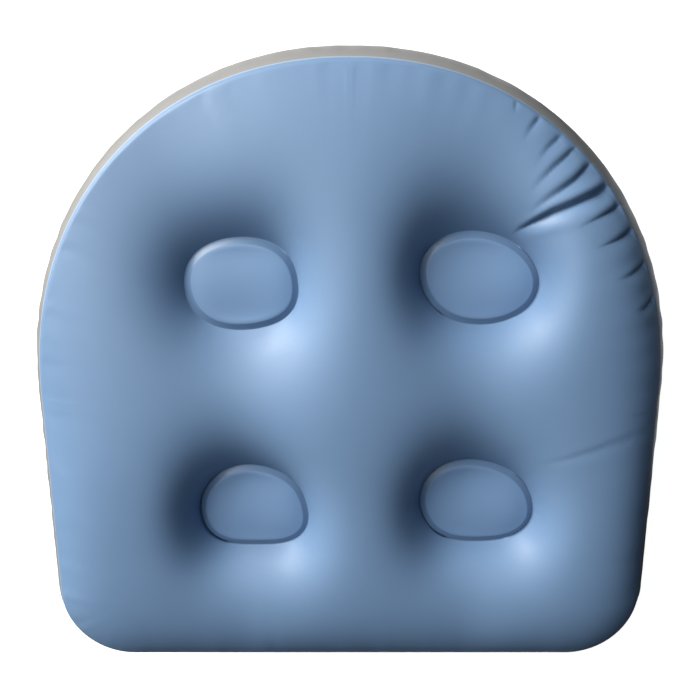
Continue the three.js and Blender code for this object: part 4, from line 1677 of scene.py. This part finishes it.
@dataclass
class Valve:
    """The push-in valve in the wall's straight edge. Its lengths run inwards from the wall's face."""

    shop: Workshop
    bottom: float = -198.5
    flange_profile: tuple[tuple[float, float, float], ...] = (
        (10.7, 0.55, 0.15), (16.5, 0.55, 0.3), (16.5, 1.35, 0.3), (11.4, 1.35, 0.2), (10.7, 1.2, 0.2),
    )
    web_profile: tuple[tuple[float, float, float], ...] = (
        (10.6, 0.75, 0.2), (10.6, 3.2, 0.6), (9.7, 6.4, 1.0), (8.6, 11.5, 1.5), (7.75, 15.4, 0.5), (7.6, 16.1, 0.2),
        (7.0, 16.1, 0.2), (7.1, 15.4, 0.5), (8.0, 11.5, 1.5), (9.1, 6.4, 1.0), (10.0, 3.2, 0.6), (10.0, 0.75, 0.2),
    )
    stem_profile: tuple[tuple[float, float, float], ...] = (
        (3.6, 2.1, 0.3), (5.8, 2.1, 0.4), (5.8, 3.3, 0.4), (5.2, 3.3, 0.2), (5.2, 14.7, 0.5), (6.9, 14.7, 0.4),
        (6.9, 16.1, 0.4), (3.6, 16.1, 0.3),
    )
    flap_profile: tuple[tuple[float, float, float], ...] = (
        (0.0, 16.4, 0.0), (4.6, 16.4, 0.2), (4.6, 17.0, 0.2), (0.0, 17.0, 0.0),
    )
    plug_profile: tuple[tuple[float, float, float], ...] = (
        (0.0, 0.55, 0.0), (2.2, 0.55, 0.4), (2.6, 0.4, 0.2), (5.2, 0.4, 0.4), (5.2, 1.8, 0.35), (3.3, 1.8, 0.2),
        (3.15, 5.0, 0.0), (3.3, 5.5, 0.3), (3.1, 6.1, 0.3), (3.0, 8.8, 0.7), (0.0, 8.8, 0.0),
    )
    web_mouth: float = 3.2
    web_root: float = 15.4
    small_steps: int = 72
    tint: tuple[float, float, float] = (0.8, 0.88, 0.93)
    strap_width: float = 3.0
    strap_film: float = 0.6
    strap_round: float = 0.15
    strap_ends: tuple[float, float] = (1.7, 7.4)
    strap_path: tuple[tuple[float, float], ...] = (
        (0.75, 4.9), (0.72, 6.0), (0.95, 6.75), (1.7, 7.08), (3.2, 7.1), (5.0, 7.1), (6.8, 7.1), (7.9, 6.9),
        (8.3, 6.3), (8.32, 5.5), (8.3, 5.1),
    )

    def build(self, outline: Outline, arc: WallArc) -> None:
        """Makes and dresses the valve's pieces.

        Args:
            outline: the pillow's outline.
            arc: the wall's section, which the flange follows.
        """
        clear = ClearFinish("valve_clear_vinyl", self.tint, roughness=0.18, transmission=0.55).material()
        inward = Matrix.Translation(Vector((0.0, self.bottom, self.shop.middle)) * MM) @ Matrix.Rotation(
            -math.pi / 2, 4, "X")
        flange = self.shop.place(self.shop.turned("flange_ring", self.flange_profile), inward)
        for vertex in flange.data.vertices:
            up = vertex.co.z / MM - self.shop.middle
            vertex.co.y += (arc.radius - math.sqrt(arc.radius**2 - up**2)) * MM
        dress(flange, clear, "valve_vinyl", "pillow", "valve_flange")
        web = self.shop.place(self.shop.turned("web_cone", self.web_profile), inward)
        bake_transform(web)
        dress(web, clear, "valve_vinyl", None, "valve_web")
        for name, profile, body, node in (
            ("stem_tube", self.stem_profile, "valve_stem", "valve_stem"),
            ("flap_disc", self.flap_profile, "valve_flap", "valve_flap"),
            ("plug_cap", self.plug_profile, "valve_plug", "valve_plug"),
        ):
            piece = self.shop.place(self.shop.turned(name, profile, self.small_steps), inward)
            dress(piece, clear, "valve_vinyl", body, node)
        self._strap(clear)

    def _strap(self, material: bpy.types.Material) -> None:
        """Makes the strap, a flat strip swept along its path.

        Args:
            material: its finish.
        """
        bpy.ops.object.select_all(action="DESELECT")
        bpy.ops.mesh.primitive_plane_add(size=MM)
        strap = bpy.context.object
        strap.name = strap.data.name = "strap_loop"
        first, *others = self.strap_path
        bpy.ops.object.mode_set(mode="EDIT")
        bpy.ops.mesh.select_all(action="SELECT")
        bpy.ops.mesh.merge(type="CENTER")
        form = bmesh.from_edit_mesh(strap.data)
        spot = form.verts[:][0]
        spot.co = self._at(-self.strap_width / 2, *first)
        bmesh.update_edit_mesh(strap.data)
        bpy.ops.mesh.extrude_region_move(TRANSFORM_OT_translate={"value": (self.strap_width * MM, 0.0, 0.0)})
        bpy.ops.mesh.select_all(action="SELECT")
        before = first
        for place in others:
            step = self._at(0.0, *place) - self._at(0.0, *before)
            bpy.ops.mesh.extrude_region_move(TRANSFORM_OT_translate={"value": tuple(step)})
            before = place
        bpy.ops.object.mode_set(mode="OBJECT")
        self.shop.apply(strap, "SOLIDIFY", thickness=self.strap_film * MM, offset=0.0, use_even_offset=True)
        self.shop.apply(strap, "BEVEL", width=self.strap_round * MM, segments=2, limit_method="ANGLE")
        self.shop.smooth(strap)
        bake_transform(strap)
        dress(strap, material, "valve_vinyl", None, "plug_strap")

    def _at(self, across: float, inwards: float, down: float) -> Vector:
        """A point beside the valve's axis, in metres."""
        return Vector((across, self.bottom + inwards, self.shop.middle - down)) * MM


# ---- studio ----


@dataclass(frozen=True)
class SoftLamp:
    """A square soft lamp."""

    name: str
    azimuth: float
    elevation: float
    distance: float
    size: float
    power: float
    colour: tuple[float, float, float] = (1.0, 1.0, 1.0)

    def hang(self, target: Vector) -> None:
        """Hangs the lamp and turns it to what it lights.

        Args:
            target: the point that it is turned to, in metres.
        """
        turn, rise = math.radians(self.azimuth), math.radians(self.elevation)
        away = Vector((math.cos(rise) * math.cos(turn), math.cos(rise) * math.sin(turn), math.sin(rise)))
        light = bpy.data.lights.new(self.name, "AREA")
        light.shape, light.size, light.energy, light.color = "SQUARE", self.size, self.power, self.colour
        lamp = bpy.data.objects.new(self.name, light)
        lamp.location = target + self.distance * away
        lamp.rotation_euler = (-away).to_track_quat("-Z", "Y").to_euler()
        lamp.visible_camera = False
        bpy.context.scene.collection.objects.link(lamp)


@dataclass
class Studio:
    """The pale floor, the soft lamps and the camera."""

    camera_place: tuple[float, float, float] = (0.0, 0.1167, 0.4759)
    camera_tilt: float = -14.32
    lens: float = 33.90
    shift_y: float = 0.01453
    floor_size: float = 5.0
    floor_curve: float = 0.6
    backdrop_height: float = 4.0
    floor_sides: int = 96
    curve_steps: int = 8
    floor_greys: tuple[float, float] = (0.5, 0.52)
    floor_scale: float = 3.0
    floor_roughness: float = 0.9
    floor_glow: float = 0.93
    sky: tuple[float, float, float] = (0.8, 0.9, 1.0)
    sky_strength: float = 0.012
    lamp_target: float = 0.06
    nearest: float = 0.01
    lamps: tuple[SoftLamp, ...] = (
        SoftLamp("key_lamp", 136.0, 28.0, 2.2, 1.3, 67.0, (0.96, 0.98, 0.97)),
        SoftLamp("low_lamp", 146.0, 12.0, 2.2, 1.3, 44.0, (1.0, 0.9, 0.74)),
        SoftLamp("high_lamp", 150.0, 64.0, 2.2, 1.3, 13.0, (0.86, 0.93, 1.0)),
        SoftLamp("front_bounce", 270.0, -48.0, 1.6, 1.2, 18.0),
        SoftLamp("right_bounce", 0.0, -48.0, 1.6, 1.2, 4.0, (0.85, 0.93, 1.0)),
        SoftLamp("under_bounce", 90.0, -75.0, 1.6, 1.6, 6.0),
    )

    def build(self) -> None:
        """Makes the studio."""
        scene = bpy.context.scene
        scene.view_settings.view_transform = "Standard"
        world = bpy.data.worlds.new("studio_world")
        world.use_nodes = True
        sky = world.node_tree.nodes["Background"]
        sky.inputs[0].default_value = paint(self.sky)
        sky.inputs[1].default_value = self.sky_strength
        scene.world = world
        self._floor()
        for lamp in self.lamps:
            lamp.hang(Vector((0.0, 0.0, self.lamp_target)))
        self._camera()
        LOG.info("studio: %d lamps, floor and camera", len(self.lamps))

    def _floor(self) -> None:
        """Makes the floor, pale and nearly without shade, which curves up into a backdrop all round."""
        bpy.ops.object.select_all(action="DESELECT")
        bpy.ops.mesh.primitive_circle_add(vertices=self.floor_sides, radius=self.floor_size, fill_type="NGON")
        floor = bpy.context.object
        floor.name = floor.data.name = "studio_floor"
        bpy.ops.object.mode_set(mode="EDIT")
        bpy.ops.mesh.select_all(action="DESELECT")
        form = bmesh.from_edit_mesh(floor.data)
        for edge in form.edges:
            edge.select_set(True)
        bmesh.update_edit_mesh(floor.data)
        bpy.ops.mesh.extrude_edges_move(TRANSFORM_OT_translate={"value": (0.0, 0.0, self.backdrop_height)})
        bpy.ops.object.mode_set(mode="OBJECT")
        Workshop.apply(floor, "BEVEL", width=self.floor_curve, segments=self.curve_steps, limit_method="ANGLE")
        Workshop.smooth(floor)
        floor.visible_diffuse = floor.visible_glossy = floor.visible_shadow = False
        nodes = Nodes("floor_paint")
        dark, light = (paint((grey, grey, grey)) for grey in self.floor_greys)
        nodes.feed(nodes.surface, {
            "Base Color": nodes.mix(nodes.spread(nodes.noise(self.floor_scale), 0.0, 1.0), dark, light),
            "Roughness": self.floor_roughness, "Emission Color": (1.0, 1.0, 1.0, 1.0),
            "Emission Strength": self.floor_glow,
        })
        floor.data.materials.append(nodes.material)

    def _camera(self) -> None:
        """Makes the camera, at the photograph's view."""
        camera = bpy.data.objects.new("photo_camera", bpy.data.cameras.new("photo_camera"))
        camera.data.lens = self.lens
        camera.data.shift_y = self.shift_y
        camera.data.clip_start = self.nearest
        camera.location = self.camera_place
        camera.rotation_euler = (math.radians(self.camera_tilt), 0.0, 0.0)
        bpy.context.scene.collection.objects.link(camera)
        bpy.context.scene.camera = camera


def main() -> None:
    """Builds the pillow and its studio."""
    logging.basicConfig(level=logging.INFO, format="%(name)s %(message)s")
    low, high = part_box("side_wall")
    shop = Workshop(middle=(low[2] + high[2]) / 2 / MM)
    cushion = Cushion(shop)
    cushion.build()
    SuctionCups(shop).build(cushion.back)
    Valve(shop).build(cushion.outline, cushion.wall.arc)
    Studio().build()


if __name__ == "__main__":
    main()
